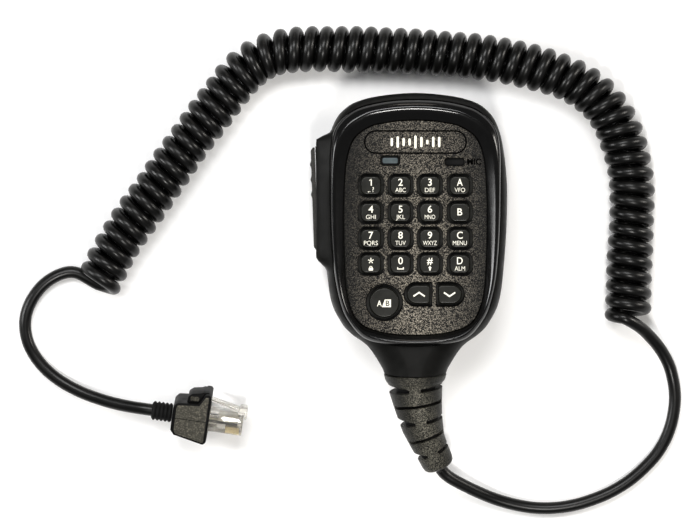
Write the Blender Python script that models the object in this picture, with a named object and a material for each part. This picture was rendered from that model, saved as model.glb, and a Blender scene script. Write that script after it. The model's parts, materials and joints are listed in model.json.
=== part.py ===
"""Amateur-radio hand microphone: keypad, side push-to-talk bar, curly cord and modular plug.

Blender 4.5. The scene is in metres: +Z leaves the keypad, +Y is the top of the microphone and
+X its right side. The origin is the centre of the hang-up button's outer face, on which the
microphone lies. Dimensions below are millimetres and turn into metres when a mesh is made.
"""
import math

import bmesh
import bpy
from mathutils import Matrix, Vector

MM = 0.001
GAP = 0.3  # clearance between pieces that touch
EPS = 1.0  # how far a cutter runs past the face it opens

# ---- case ---------------------------------------------------------------------------------
PARTING_Z = 20.0
WALL = 2.2
CASE_POINTS = 72
CASE_HALF = [
    (0.0, 35.9), (14.0, 34.7), (23.0, 32.4), (28.3, 28.9), (31.6, 24.2), (33.9, 16.8), (35.5, 5.1),
    (35.9, -6.6), (35.1, -25.4), (33.0, -44.1), (28.9, -53.4), (24.8, -58.1), (18.5, -62.8),
    (13.7, -69.8), (12.0, -73.7), (11.5, -80.0),
]
NECK_TAIL_Y = -86.0
NECK_TAIL_R = 11.4
FRONT_LEVELS = [(20.15, 0.0), (27.0, 0.4), (30.8, 1.4), (33.0, 2.8), (33.6, 4.2)]
REAR_LEVELS = [(19.85, 0.0), (13.0, 0.6), (9.2, 2.2), (6.9, 4.8), (6.0, 8.0)]
FRONT_CAVITY = [(18.0, 2.2), (19.0, 2.2), (25.0, 2.35), (28.3, 2.9)]
REAR_CAVITY = [(22.0, 2.2), (21.0, 2.2), (12.5, 2.9), (9.2, 5.0), (8.2, 8.0)]
NECK_ARC = math.radians(80.0)  # how far the neck's round side runs up from the parting plane
NECK_R = 11.8
NECK_BLEND_Y = (-52.0, -68.0)
NECK_END = (0.0, -73.0, PARTING_Z)
NECK_TILT = math.radians(8.5)  # the neck's end face and the cord's boot lean to the back
NECK_BORE_R = 6.3
DECK_TOP_Z = 30.5
DECK_Z = 28.3

# ---- push-to-talk bar ---------------------------------------------------------------------
FAIRING_X = -38.6
FAIRING_TOP_Y = (21.0, 17.4)
FAIRING_LOW_Y = (-33.5, -28.0)
FAIRING_RISE = (12.5, 8.0)
PTT_Y = (-25.7, 14.9)
PTT_Z = (13.1, 26.9)
PTT_SLOT_Y = (-26.2, 15.5)
PTT_SLOT_X = (-45.0, -34.0)
PTT_PIVOT = (-33.0, -22.5)
PTT_PIN_R = 1.0
PTT_LUG_R = 2.6
PTT_SIDE = [
    (-38.9, 14.9), (-34.4, 14.9), (-34.4, 9.6), (-33.0, 9.6), (-33.0, 7.4), (-34.4, 7.4), (-34.4, -18.0),
    (-32.0, -20.2), (-30.6, -21.6), (-30.5, -23.4), (-31.8, -24.9), (-33.4, -25.7), (-37.6, -25.7),
]
PTT_FLANGE = (-35.8, -34.6, -17.0, 10.6)
PTT_FLANGE_REACH = 0.9
PAD_BACK_X = (-37.9, -39.2)  # at the bar's low end and at its top
PAD_EDGE = 0.5
PAD_SHOULDER = 1.6
PAD_BUMP = 1.45  # rise of each of the pad's three bumps, as against 1 between them
PAD_STATIONS = [
    (14.5, 0.0), (13.6, 1.0), (9.2, 1.0), (7.9, PAD_BUMP), (6.6, 1.0), (5.1, 1.0), (3.8, PAD_BUMP),
    (2.5, 1.0), (1.0, 1.0), (-0.3, PAD_BUMP), (-1.6, 1.0), (-14.0, 1.0), (-24.6, 1.0), (-25.3, 0.0),
]

# ---- face ---------------------------------------------------------------------------------
RING_POINTS = 60
RING_OUTER = [
    (0.0, 32.9), (8.0, 32.6), (15.5, 31.5), (21.8, 29.8), (25.5, 27.8), (29.0, 24.8), (31.7, 20.4),
    (32.9, 13.0), (33.1, 2.0), (32.9, -14.0), (32.2, -27.0), (31.1, -37.4), (29.2, -46.0),
    (26.4, -52.4), (20.4, -59.2), (12.2, -61.8), (0.0, -62.6),
]
RING_CREST = [
    (0.0, 30.1), (8.0, 29.7), (16.8, 28.3), (21.8, 26.0), (25.5, 23.6), (28.0, 20.8), (30.0, 17.1),
    (31.5, 12.1), (32.2, 2.0), (32.0, -14.0), (31.3, -27.0), (30.1, -37.4), (28.2, -45.4),
    (25.3, -51.5), (19.4, -57.9), (11.6, -60.5), (0.0, -61.3),
]
PANEL_EDGE = [
    (0.0, 25.1), (7.0, 24.8), (12.2, 24.0), (17.0, 22.9), (22.2, 19.7), (25.1, 15.7), (27.1, 7.8),
    (27.9, -6.0), (27.9, -20.0), (27.5, -33.0), (26.9, -40.5), (25.4, -47.4), (22.6, -52.9),
    (18.2, -55.9), (10.0, -58.0), (0.0, -58.6),
]
SEAT_Z = 30.8
RING_SHOULDER_Z = 33.7
RING_CREST_Z = 36.1
PANEL_Z = 33.4

# ---- keypad -------------------------------------------------------------------------------
COLUMNS = [-17.3, -5.8, 5.6, 17.2]
ROWS = [-0.35, -10.8, -20.9, -30.8]
KEYS = [
    ["key_1", "key_2", "key_3", "key_a"],
    ["key_4", "key_5", "key_6", "key_b"],
    ["key_7", "key_8", "key_9", "key_c"],
    ["key_star", "key_0", "key_hash", "key_d"],
]
KEY_BASE = (8.9, 8.3)
KEY_TOP = (7.7, 6.3)
KEY_FLANGE = (10.3, 9.5)
KEY_CORNER = 2.6
KEY_TOP_Z = 34.0
KEY_SHOULDER_Z = 33.0
FLANGE_Z = (29.7, 30.5)
MODE_KEY = (-12.1, -45.8)
MODE_WELL_R = 7.2
MODE_CAP_R = 5.3
MODE_SKIRT_R = 6.8
PILL = (7.3, -42.6)
PILL_SIZE = (23.7, 9.55)
PILL_RIB = 0.75
LED_AT = (-9.8, 9.3)
LED_WINDOW = (7.7, 4.0)
LED_WINDOW_CORNER = 1.4
LENS_FLANGE = (7.1, 3.4)
LENS_TOP = (6.3, 2.5)
LENS_Z = (29.2, 32.2, 33.2)
LED_PROFILE = [(1.5, 26.6), (1.5, 28.2), (1.0, 28.8)]
MIC_SLOT_AT = (15.2, 8.8)
MIC_SLOT = (7.5, 3.2)
MIC_SLOT_CORNER = 1.0
MIC_AT = (15.2, 10.2)
DECK_OPENING = [(22.9, 4.9), (22.9, -37.0), (19.8, -39.6), (19.8, -50.0), (12.0, -53.6), (0.0, -54.4)]
MAT_OUTLINE = [(24.4, 5.9), (24.4, -37.5), (21.3, -40.4), (21.3, -51.0), (12.8, -55.2), (0.0, -56.0)]
MAT_Z = (27.3, 28.0)
MAT_LUMP = (5.0, 4.4)
MAT_LUMP_Z = (27.6, 28.6)
FILM_Z = (26.6, 26.75)
DOME_R = 2.2
DOME_Z = (26.65, 27.0)
BOARD_Z = (24.7, 26.3)
BOARD_HEAD = [(21.0, 27.0), (22.6, 25.0), (22.6, 14.6), (24.4, 13.6)]
BOARD_TAB = [(-24.4, -2.0), (-30.4, -2.0), (-30.4, 13.6), (-22.6, 14.6), (-22.6, 25.0), (-21.0, 27.0)]
BOARD_HOLE_R = 4.3
HOLDER_R = 3.9
HOLDER_Z = (19.6, 28.0)
HOLDER_BORE_R = 3.3
HOLDER_FLOOR_Z = 20.8
CAPSULE_PROFILE = [(2.8, 21.1), (3.0, 21.4), (3.0, 26.8), (2.7, 27.1)]
CONNECTOR_BOX = (-6.0, 6.0, -40.0, -34.0, 18.6, 24.4)
SWITCH_BOX = (-30.2, -25.6, 5.0, 12.0, 18.0, 24.4)
SWITCH_NUB = (-31.0, -29.0, 7.2, 9.8, 19.8, 22.6)
CABLE_R = 2.2
CABLE_INSIDE = [
    (0.0, -65.7, 21.0), (0.0, -63.8, 21.0), (0.0, -60.0, 18.6), (0.0, -56.0, 14.4), (0.0, -51.0, 13.4),
    (0.0, -46.0, 13.3), (0.0, -43.8, 15.2), (0.0, -43.0, 18.0), (0.0, -42.6, 20.4),
]

# ---- fasteners ----------------------------------------------------------------------------
CASE_SCREWS = [(-26.5, 20.5), (26.5, 20.5), (-26.5, -42.0), (26.5, -42.0)]
BOSS_R = 3.2
REAR_BOSS_R = 3.8
REAR_POST_Z = 7.4
SCREW_R = 1.3
SCREW_HEAD_R = 2.5
SCREW_HEAD_Z = (7.6, 9.7)
SCREW_TIP_Z = 26.2
SCREW_SLOT = (1.7, 0.35, 8.4)  # half length, half width and floor height of the driver's slot
BUTTON_PROFILE = [(6.4, 0.0), (7.0, 0.5), (7.0, 2.1), (6.6, 2.5), (4.4, 2.5), (4.4, 5.7)]
BUTTON_BORE_R = 1.8
BUTTON_SCREW = [(1.5, 2.5), (1.5, 9.8), (3.0, 9.8), (3.0, 11.6)]
BUTTON_PLATE = (15.0, 15.0)
BUTTON_PLATE_CORNER = 2.5
BUTTON_PLATE_Z = (8.5, 9.5)
CLAMP_SCREW = (9.0, -50.5)
CLAMP_HOLE_R = 1.2
CLAMP_WIDTH = 5.0
CLAMP_ARCH = [
    (-4.4, 11.2), (-4.4, 16.5), (-3.0, 18.6), (3.0, 18.6), (4.4, 16.5), (4.4, 13.6), (11.8, 13.6),
    (11.8, 12.5), (2.9, 12.5), (2.9, 16.0), (2.1, 17.1), (-2.1, 17.1), (-2.9, 16.0), (-2.9, 11.2),
]
CLAMP_SCREW_PROFILE = [(0.9, 9.0), (0.9, 13.9), (1.9, 13.9), (1.9, 15.1)]

# ---- cord and plug ------------------------------------------------------------------------
CORD_R = 2.4
COIL_R = 9.2
BOOT_AXIS = [
    (0.0, -73.0, 20.0), (0.1, -78.0, 19.2), (0.8, -83.0, 18.3), (1.8, -89.0, 17.1),
    (3.2, -95.0, 15.7), (5.2, -100.5, 14.2), (7.6, -105.5, 12.6), (9.9, -110.5, 10.8),
]
BOOT_SECTIONS = [
    (0.3, 12.0, 11.7), (2.9, 11.6, 11.3), (4.0, 10.8, 10.6), (7.0, 10.4, 10.2), (13.0, 9.4, 9.3),
    (18.3, 8.6, 8.5), (22.0, 8.1, 8.0), (28.0, 7.0, 7.0), (33.0, 6.5, 6.5), (36.4, 6.2, 6.2),
    (38.6, 5.6, 5.6), (39.6, 4.4, 4.4),
]
BOOT_SIDE_SLOTS = [(6.2, 1.6), (19.2, 1.5), (32.6, 1.5)]
BOOT_FACE_SLOTS = [(12.3, 1.3), (25.8, 1.4)]
BOOT_CORE = 2.7
BOOT_SIDES = 20
BOOT_FLANGE_R = 8.4
BOOT_NECK_R = 6.0
BOOT_FLANGE_DEPTH = 6.0
LEAD_MIC = [
    (10.2, -111.1, 10.6), (12.1, -113.2, 9.7), (15.6, -115.6, 8.6), (23.4, -119.6, 6.0),
    (31.2, -122.9, 3.9), (39.0, -125.2, 2.9), (46.8, -126.5, 2.5), (54.6, -126.6, 2.5),
    (62.4, -125.5, 2.5), (70.2, -123.2, 2.5), (78.0, -119.8, 2.5), (85.8, -114.7, 2.5),
    (93.5, -107.3, 2.5), (97.8, -101.0, 2.5), (100.4, -94.8, 2.5), (101.8, -88.5, 2.5),
    (102.2, -82.3, 2.6), (101.4, -76.1, 3.0), (99.5, -69.8, 4.2), (95.9, -63.6, 6.4),
    (90.5, -58.3, 9.6), (84.3, -54.4, 12.6), (78.0, -51.6, 14.4),
]
COIL_ROUTE = [
    (83.5, -48.6), (84.0, -31.8), (84.8, -16.2), (85.1, -2.0), (84.1, 7.1), (81.9, 16.0), (78.4, 25.0),
    (72.6, 33.2), (64.8, 39.2), (56.0, 43.3), (42.9, 47.1), (27.6, 50.0), (12.1, 51.6), (-3.5, 52.6),
    (-19.1, 53.1), (-34.7, 53.4), (-46.0, 53.2), (-55.4, 51.6), (-62.4, 48.3), (-68.4, 43.2),
    (-74.8, 35.1), (-84.2, 22.7), (-93.4, 10.1), (-102.2, -2.8), (-111.3, -15.5), (-118.0, -26.0),
    (-122.8, -35.9),
]
LEAD_PLUG = [
    (-128.4, -36.2, 2.5), (-132.2, -34.3, 2.5), (-138.5, -34.6, 2.5), (-144.7, -38.0, 2.5),
    (-149.4, -43.3, 2.5), (-152.4, -49.9, 2.5), (-152.9, -56.5, 2.5), (-151.0, -63.6, 2.5),
    (-146.3, -70.6, 2.6), (-139.6, -76.4, 3.0), (-131.2, -81.0, 4.2), (-122.9, -84.0, 5.9),
    (-116.6, -85.7, 7.4), (-110.4, -86.9, 8.8), (-106.2, -87.5, 9.6), (-103.3, -87.95, 9.9),
]
PLUG_AT = (-80.5, -91.2, 9.9)
PLUG_HEADING = math.radians(-8.1)
PLUG_ROLL = math.radians(15.0)
PLUG_NOSE = 13.3
PLUG_BACK = -8.0
PLUG_HALF_WIDTH = 5.84
PLUG_FLOOR = -3.6
PLUG_ROOF = 3.4
PLUG_BOOT_HALF = 7.5
PLUG_BOOT_SIDE = [
    (-14.4, -4.8), (-12.9, -6.6), (-1.1, -9.1), (0.0, -8.0), (0.0, 11.3), (-2.4, 11.1), (-4.6, 7.2),
    (-13.0, 6.4), (-14.4, 4.8),
]
HOOD_SIDE = [(-9.4, 6.0), (-9.2, 9.0), (-7.6, 10.3), (-4.2, 10.9), (-3.4, 11.4), (-0.9, 11.4), (-0.6, 6.0)]
HOOD_HALF = 5.0
HOOD_WINDOW = (-8.2, -4.8, 7.4, 9.4)
LATCH_HINGE = (13.9, 3.6)
LATCH_LEVER = [(-5.5, 7.9), (0.0, 7.4), (10.4, 4.5), (12.4, 4.3), (12.4, 6.0), (0.0, 8.6), (-5.5, 8.9)]
LATCH_HEAD = [
    (10.8, 4.4), (11.6, 3.7), (13.6, 3.7), (13.6, 2.4), (14.5, 2.4), (14.5, 6.3), (13.9, 6.8), (11.6, 6.8),
]
LATCH_HALF = (3.0, 1.6)  # half widths of the head and of the lever
LEVER_WAY_HALF = 2.2
CONTACT_POCKET = (6.4, 12.5, PLUG_FLOOR - EPS, -0.9)
CONTACT_POCKET_HALF = 4.7
CONTACT_PITCH = 1.02
CONTACT_BLADE = (6.8, 12.1, -3.4, -1.6)
CONTACT_BLADE_HALF = 0.22
CONTACT_BAR = (7.2, 11.6, -2.2, -1.2)
CONTACT_BAR_HALF = 4.3
TAIL_RIB_R = 3.75
TAIL_GROOVE_R = 3.15
TAIL_START = -22.6
TAIL_END = -14.7
TAIL_PITCH = 1.55


def clear_scene():
    """Start from an empty scene."""
    for item in list(bpy.data.objects):
        bpy.data.objects.remove(item, do_unlink=True)


def finish(name, colour, roughness, metallic=0.0, alpha=1.0):
    """Give an object its own Principled material and smooth round sides."""
    item = bpy.data.objects[name]
    material = bpy.data.materials.new(name + "_material")
    material.use_nodes = True
    shader = material.node_tree.nodes["Principled BSDF"]
    shader.inputs["Base Color"].default_value = (*colour, 1.0)
    shader.inputs["Roughness"].default_value = roughness
    shader.inputs["Metallic"].default_value = metallic
    shader.inputs["Alpha"].default_value = alpha
    item.data.materials.clear()
    item.data.materials.append(material)
    if item.type == "MESH":
        item.data.shade_smooth()
        item.data.set_sharp_from_angle(angle=math.radians(35.0))
    return item


# ---- plain geometry -----------------------------------------------------------------------
def mix(a, b, t):
    """The number a fraction t of the way from a to b."""
    return a + (b - a) * t


def smoothstep(value, start, end):
    """0 at start, 1 at end, with a soft run between; start may be above end."""
    t = min(1.0, max(0.0, (value - start) / (end - start)))
    return t * t * (3.0 - 2.0 * t)


def catmull(p0, p1, p2, p3, t):
    """A point of the Catmull-Rom curve between p1 and p2."""
    straight = 2.0 * p1 + (p2 - p0) * t
    bend = (2.0 * p0 - 5.0 * p1 + 4.0 * p2 - p3) * t * t
    twist = (3.0 * p1 - p0 - 3.0 * p2 + p3) * t * t * t
    return (straight + bend + twist) * 0.5


def curve_points(points, closed):
    """A fine smooth polyline through the points."""
    nodes = [Vector(p) for p in points]
    count = len(nodes)
    spans = count if closed else count - 1
    fine = []
    for i in range(spans):
        if closed:
            p0, p1, p2, p3 = (nodes[(i + k) % count] for k in (-1, 0, 1, 2))
        else:
            p1, p2 = nodes[i], nodes[i + 1]
            p0 = nodes[i - 1] if i > 0 else 2.0 * p1 - p2
            p3 = nodes[i + 2] if i + 2 < count else 2.0 * p2 - p1
        fine.extend(catmull(p0, p1, p2, p3, step / 16.0) for step in range(16))
    fine.append(nodes[0] if closed else nodes[-1])
    return fine


def resample(fine, count):
    """count points at equal distances along a polyline, both ends included."""
    reach = [0.0]
    for a, b in zip(fine, fine[1:]):
        reach.append(reach[-1] + (b - a).length)
    spread = []
    at = 0
    for i in range(count):
        want = reach[-1] * i / (count - 1)
        while at < len(fine) - 2 and reach[at + 1] < want:
            at += 1
        span = reach[at + 1] - reach[at]
        spread.append(fine[at].lerp(fine[at + 1], (want - reach[at]) / span))
    return spread


def outline(half, count):
    """A closed outline, symmetric about x = 0, from its right half listed top to bottom."""
    left = [(-x, y) for x, y in reversed(half) if x > 0.0]
    ring = resample(curve_points([(x, y, 0.0) for x, y in [*half, *left]], True), count + 1)
    return [(p.x, p.y) for p in ring[:-1]]


def normals(ring):
    """The inward unit normals of a clockwise outline."""
    count = len(ring)
    found = []
    for i in range(count):
        ahead = ring[(i + 1) % count]
        behind = ring[i - 1]
        run = Vector((ahead[0] - behind[0], ahead[1] - behind[1])).normalized()
        found.append((run.y, -run.x))
    return found


def inset(ring, distance):
    """The outline moved inwards by a distance; a negative distance grows it."""
    moved = []
    for (x, y), (nx, ny) in zip(ring, normals(ring)):
        moved.append((x + nx * distance, y + ny * distance))
    return moved


def at_height(ring, z):
    """A flat outline as points at one height."""
    return [(x, y, z) for x, y in ring]


def circle(centre, radius, count):
    """A round outline, clockwise from its top."""
    points = []
    for i in range(count):
        angle = math.tau * i / count
        points.append((centre[0] + radius * math.sin(angle), centre[1] + radius * math.cos(angle)))
    return points


def rounded(centre, size, corner, steps=3):
    """A rectangle with round corners, clockwise from the left end of its top side."""
    half_x = size[0] / 2.0 - corner
    half_y = size[1] / 2.0 - corner
    points = []
    for k, (sx, sy) in enumerate([(-1, 1), (1, 1), (1, -1), (-1, -1)]):
        for i in range(steps):
            angle = math.pi * (k - 1) / 2.0 + math.pi / 2.0 * i / (steps - 1)
            x = centre[0] + sx * half_x + corner * math.sin(angle)
            y = centre[1] + sy * half_y + corner * math.cos(angle)
            points.append((x, y))
    return points


def half_pill(side, grow, rib):
    """One end of the rocker's pill: side is 1 right or -1 left, rib the distance to its middle."""
    half_x = PILL_SIZE[0] / 2.0
    radius = PILL_SIZE[1] / 2.0 + grow
    turn = half_x - PILL_SIZE[1] / 2.0
    points = [(rib, radius)]
    for i in range(9):
        angle = math.pi * i / 8.0
        points.append((turn + radius * math.sin(angle), radius * math.cos(angle)))
    points.append((rib, -radius))
    if side < 0:
        points = [(-x, y) for x, y in reversed(points)]
    return [(PILL[0] + x, PILL[1] + y) for x, y in points]


# ---- meshes -------------------------------------------------------------------------------
def new_object(name, bm, origin=(0.0, 0.0, 0.0)):
    """Turn a bmesh in millimetres into an object in metres with its origin at a given place."""
    bmesh.ops.recalc_face_normals(bm, faces=bm.faces)
    bmesh.ops.connect_verts_nonplanar(bm, angle_limit=math.radians(0.01), faces=bm.faces)
    bm.transform(Matrix.Scale(MM, 4) @ Matrix.Translation(-Vector(origin)))
    mesh = bpy.data.meshes.new(name)
    bm.to_mesh(mesh)
    bm.free()
    item = bpy.data.objects.new(name, mesh)
    item.location = Vector(origin) * MM
    bpy.context.collection.objects.link(item)
    return item


def add_loft(bm, rings, cap="ngon", ring_closed=False):
    """Skin a stack of rings with equal counts; the last cap is one face, or a strip across it."""
    rows = [[bm.verts.new(p) for p in ring] for ring in rings]
    count = len(rows[0])
    pairs = list(zip(rows, rows[1:]))
    if ring_closed:
        pairs.append((rows[-1], rows[0]))
    for low, high in pairs:
        for i in range(count):
            j = (i + 1) % count
            bm.faces.new((low[i], low[j], high[j], high[i]))
    if ring_closed:
        return
    bm.faces.new(rows[0])
    last = rows[-1]
    if cap == "ngon":
        bm.faces.new(last)
        return
    for i in range(count // 2):
        corners = [last[i], last[i + 1], last[count - i - 1], last[-i]]
        bm.faces.new(list(dict.fromkeys(corners)))


def loft(name, rings, origin=(0.0, 0.0, 0.0), cap="ngon", ring_closed=False, place=None):
    """One lofted solid; place is a matrix that the rings are moved by first."""
    bm = bmesh.new()
    add_loft(bm, rings, cap, ring_closed)
    if place is not None:
        bm.transform(place)
    return new_object(name, bm, origin)


def prisms(name, shapes, origin=(0.0, 0.0, 0.0), place=None):
    """Upright prisms in one mesh; a shape is (outline, low z, high z)."""
    bm = bmesh.new()
    for ring, low, high in shapes:
        add_loft(bm, [at_height(ring, low), at_height(ring, high)])
    if place is not None:
        bm.transform(place)
    return new_object(name, bm, origin)


def block(x0, x1, y0, y1, z0, z1):
    """A box as a prism shape."""
    return [(x0, y1), (x1, y1), (x1, y0), (x0, y0)], z0, z1


def turned(name, profile, centre, sides, origin=(0.0, 0.0, 0.0), place=None):
    """A turned piece about the vertical through centre; profile is (radius, z) from its base."""
    rings = [at_height(circle(centre, radius, sides), z) for radius, z in profile]
    return loft(name, rings, origin, place=place)


def combine(item, operation, other):
    """Add a Boolean modifier, and leave the other object as a guide outside the model."""
    modifier = item.modifiers.new(operation.lower(), "BOOLEAN")
    modifier.operation = operation
    modifier.solver = "EXACT"
    modifier.object = other
    other.hide_render = True
    other.display_type = "WIRE"


def tube(name, route, radius, spacing, resolution):
    """A round tube along a smooth curve through the route's points, with filled ends."""
    fine = curve_points(route, False)
    length = sum((b - a).length for a, b in zip(fine, fine[1:]))
    points = resample(fine, round(length / spacing) + 1)
    data = bpy.data.curves.new(name, "CURVE")
    data.dimensions = "3D"
    data.bevel_depth = radius * MM
    data.bevel_resolution = resolution
    data.use_fill_caps = True
    spline = data.splines.new("POLY")
    spline.points.add(len(points) - 1)
    for slot, p in zip(spline.points, points):
        slot.co = (p.x * MM, p.y * MM, p.z * MM, 1.0)
    item = bpy.data.objects.new(name, data)
    bpy.context.collection.objects.link(item)
    return item


# ---- case ---------------------------------------------------------------------------------
def case_outline():
    """The case's outline at the parting plane, run on past the neck to a round end."""
    tail = []
    for i in range(1, 5):
        angle = math.pi / 8.0 * i
        tail.append((NECK_TAIL_R * math.cos(angle), NECK_TAIL_Y - NECK_TAIL_R * math.sin(angle)))
    tail[-1] = (0.0, NECK_TAIL_Y - NECK_TAIL_R)
    return outline([*CASE_HALF, (NECK_TAIL_R, NECK_TAIL_Y), *tail], CASE_POINTS)


def case_rings(levels, wall):
    """The case's skin, or its cavity with a wall, as one ring for each (z, inset) level."""
    ring = case_outline()
    side = 1.0 if levels[-1][0] > PARTING_Z else -1.0
    first = 1 if wall else 0
    rings = []
    for k, (z_body, body_inset) in enumerate(levels):
        angle = NECK_ARC * max(0, k - first) / (len(levels) - 1 - first)
        neck_inset = wall + (NECK_R - wall) * (1.0 - math.cos(angle))
        neck_z = PARTING_Z + side * (NECK_R - wall) * math.sin(angle)
        if k <= first:
            neck_z = z_body
        points = []
        for (x, y), (nx, ny) in zip(ring, normals(ring)):
            neck = smoothstep(y, *NECK_BLEND_Y)
            step = mix(body_inset, neck_inset, neck)
            z = mix(z_body, neck_z, neck)
            px = x + nx * step
            if x < 0.0:
                along = smoothstep(y, FAIRING_TOP_Y[0] - wall, FAIRING_TOP_Y[1] - wall)
                along *= smoothstep(y, FAIRING_LOW_Y[0] + wall, FAIRING_LOW_Y[1] + wall)
                px = mix(px, FAIRING_X + wall, along * smoothstep(abs(z - PARTING_Z), *FAIRING_RISE))
            points.append((px, y + ny * step, z))
        rings.append(points)
    return rings


def neck_cutter(name, shift):
    """Everything past the neck's leaning end face, moved up the neck by a distance."""
    shapes = [block(-40.0, 40.0, -60.0, shift, -40.0, 40.0)]
    place = Matrix.Translation(NECK_END) @ Matrix.Rotation(NECK_TILT, 4, "X")
    return prisms(name, shapes, place=place)


def make_shell(name, levels, cavity_levels):
    """Half of the case: its skin less its cavity, with the neck cut off square to the boot."""
    shell = loft(name, case_rings(levels, 0.0), cap="strip")
    cavity = loft(name + "_cavity", case_rings(cavity_levels, WALL), cap="strip")
    combine(cavity, "DIFFERENCE", neck_cutter(name + "_cavity_end", WALL + GAP))
    combine(shell, "DIFFERENCE", cavity)
    combine(shell, "DIFFERENCE", neck_cutter(name + "_neck_end", 0.0))
    bore = [at_height(circle((0.0, 0.0), NECK_BORE_R, 16), z) for z in (-8.0, 8.0)]
    place = Matrix.Translation(NECK_END) @ Matrix.Rotation(math.pi / 2.0 + NECK_TILT, 4, "X")
    combine(shell, "DIFFERENCE", loft(name + "_neck_bore", bore, place=place))
    slot = block(*PTT_SLOT_X, *PTT_SLOT_Y, PTT_Z[0] - GAP, PTT_Z[1] + GAP)
    combine(shell, "DIFFERENCE", prisms(name + "_ptt_slot", [slot]))
    return shell


def make_front_shell():
    """Front half: a deck under the face, screw bosses and the top seat of the bar's pin."""
    shell = make_shell("front_shell", FRONT_LEVELS, FRONT_CAVITY)
    posts = [(circle(at, BOSS_R, 12), PARTING_Z + GAP, DECK_Z + EPS) for at in CASE_SCREWS]
    posts.append((circle(PTT_PIVOT, PTT_LUG_R, 12), PTT_Z[1] + 0.4, DECK_Z + EPS))
    combine(shell, "UNION", prisms("front_posts", posts))
    seat = inset(outline(RING_OUTER, RING_POINTS), -GAP)
    recess = [at_height(seat, DECK_TOP_Z), at_height(seat, 40.0)]
    combine(shell, "DIFFERENCE", loft("face_recess", recess, cap="strip"))
    left = [(-x, y) for x, y in reversed(DECK_OPENING[:-1])]
    holes = [([*DECK_OPENING, *left], DECK_Z - EPS, DECK_TOP_Z + EPS)]
    lamp_window = rounded(LED_AT, LED_WINDOW, LED_WINDOW_CORNER)
    sound_slot = rounded(MIC_SLOT_AT, MIC_SLOT, MIC_SLOT_CORNER)
    holes.extend((window, DECK_Z - EPS, DECK_TOP_Z + EPS) for window in (lamp_window, sound_slot))
    holes.extend((circle(at, SCREW_R + GAP, 10), PARTING_Z - EPS, SCREW_TIP_Z + 0.4) for at in CASE_SCREWS)
    holes.append((circle(PTT_PIVOT, PTT_PIN_R + GAP, 10), PTT_Z[1] - EPS, 29.4))
    combine(shell, "DIFFERENCE", prisms("front_holes", holes))
    return finish("front_shell", (0.022, 0.022, 0.021), 0.55)


def make_rear_shell():
    """Rear half: screw bosses with counterbores, the bar pin's low seat and the clamp's post."""
    shell = make_shell("rear_shell", REAR_LEVELS, REAR_CAVITY)
    posts = [(circle(at, REAR_BOSS_R, 12), REAR_POST_Z, PARTING_Z - GAP) for at in CASE_SCREWS]
    posts.append((circle(PTT_PIVOT, PTT_LUG_R, 12), 9.5, PTT_Z[0] - 0.4))
    posts.append((circle(CLAMP_SCREW, 2.8, 10), REAR_POST_Z, 12.2))
    combine(shell, "UNION", prisms("rear_posts", posts))
    holes = [(circle(at, SCREW_R + GAP, 10), 6.0, PARTING_Z + EPS) for at in CASE_SCREWS]
    holes.append((circle(PTT_PIVOT, PTT_PIN_R + GAP, 10), 10.7, PARTING_Z))
    holes.append((circle(CLAMP_SCREW, CLAMP_HOLE_R, 8), 8.4, PARTING_Z))
    holes.append((circle((0.0, 0.0), 1.9, 16), 4.0, 9.5))
    combine(shell, "DIFFERENCE", prisms("rear_holes", holes))
    sinks = [(circle(at, SCREW_HEAD_R + GAP, 12), 4.0, 10.0) for at in CASE_SCREWS]
    combine(shell, "DIFFERENCE", prisms("rear_counterbores", sinks))
    return finish("rear_shell", (0.022, 0.022, 0.021), 0.55)


# ---- face ---------------------------------------------------------------------------------
def make_trim_ring():
    """Gloss ring: a steep outer side, a round crest and a long slope down to the panel."""
    outer = outline(RING_OUTER, RING_POINTS)
    crest = outline(RING_CREST, RING_POINTS)
    inner = outline(PANEL_EDGE, RING_POINTS)

    def between(a, b, t, z):
        return [(mix(p[0], q[0], t), mix(p[1], q[1], t), z) for p, q in zip(a, b)]

    rings = [
        at_height(outer, SEAT_Z), at_height(outer, RING_SHOULDER_Z),
        between(outer, crest, 0.55, mix(RING_SHOULDER_Z, RING_CREST_Z, 0.75)),
        at_height(crest, RING_CREST_Z), between(crest, inner, 0.3, RING_CREST_Z - 0.3),
        between(crest, inner, 0.85, PANEL_Z + 1.0), at_height(inner, PANEL_Z + 0.2),
        at_height(inner, SEAT_Z),
    ]
    loft("trim_ring", rings, ring_closed=True)
    return finish("trim_ring", (0.008, 0.008, 0.008), 0.12)


def key_wells():
    """The openings of the face panel: key wells, rocker ends, lamp window and sound slot."""
    wells = []
    for y in ROWS:
        for x in COLUMNS:
            size = (KEY_BASE[0] + 2 * GAP, KEY_BASE[1] + 2 * GAP)
            wells.append(rounded((x, y), size, KEY_CORNER + GAP))
    wells.append(circle(MODE_KEY, MODE_WELL_R, 24))
    wells.append(half_pill(1, 0.0, PILL_RIB))
    wells.append(half_pill(-1, 0.0, PILL_RIB))
    wells.append(rounded(LED_AT, LED_WINDOW, LED_WINDOW_CORNER, 4))
    wells.append(rounded(MIC_SLOT_AT, MIC_SLOT, MIC_SLOT_CORNER, 4))
    return wells


def make_face_panel():
    """Textured plate inside the ring, pierced for the keys, the lamp and the sound slot."""
    edge = inset(outline(PANEL_EDGE, RING_POINTS), GAP)
    panel = loft("face_panel", [at_height(edge, SEAT_Z), at_height(edge, PANEL_Z)], cap="strip")
    cuts = [(well, SEAT_Z - EPS, PANEL_Z + EPS) for well in key_wells()]
    combine(panel, "DIFFERENCE", prisms("panel_cuts", cuts))
    return finish("face_panel", (0.06, 0.056, 0.05), 0.6)


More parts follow.
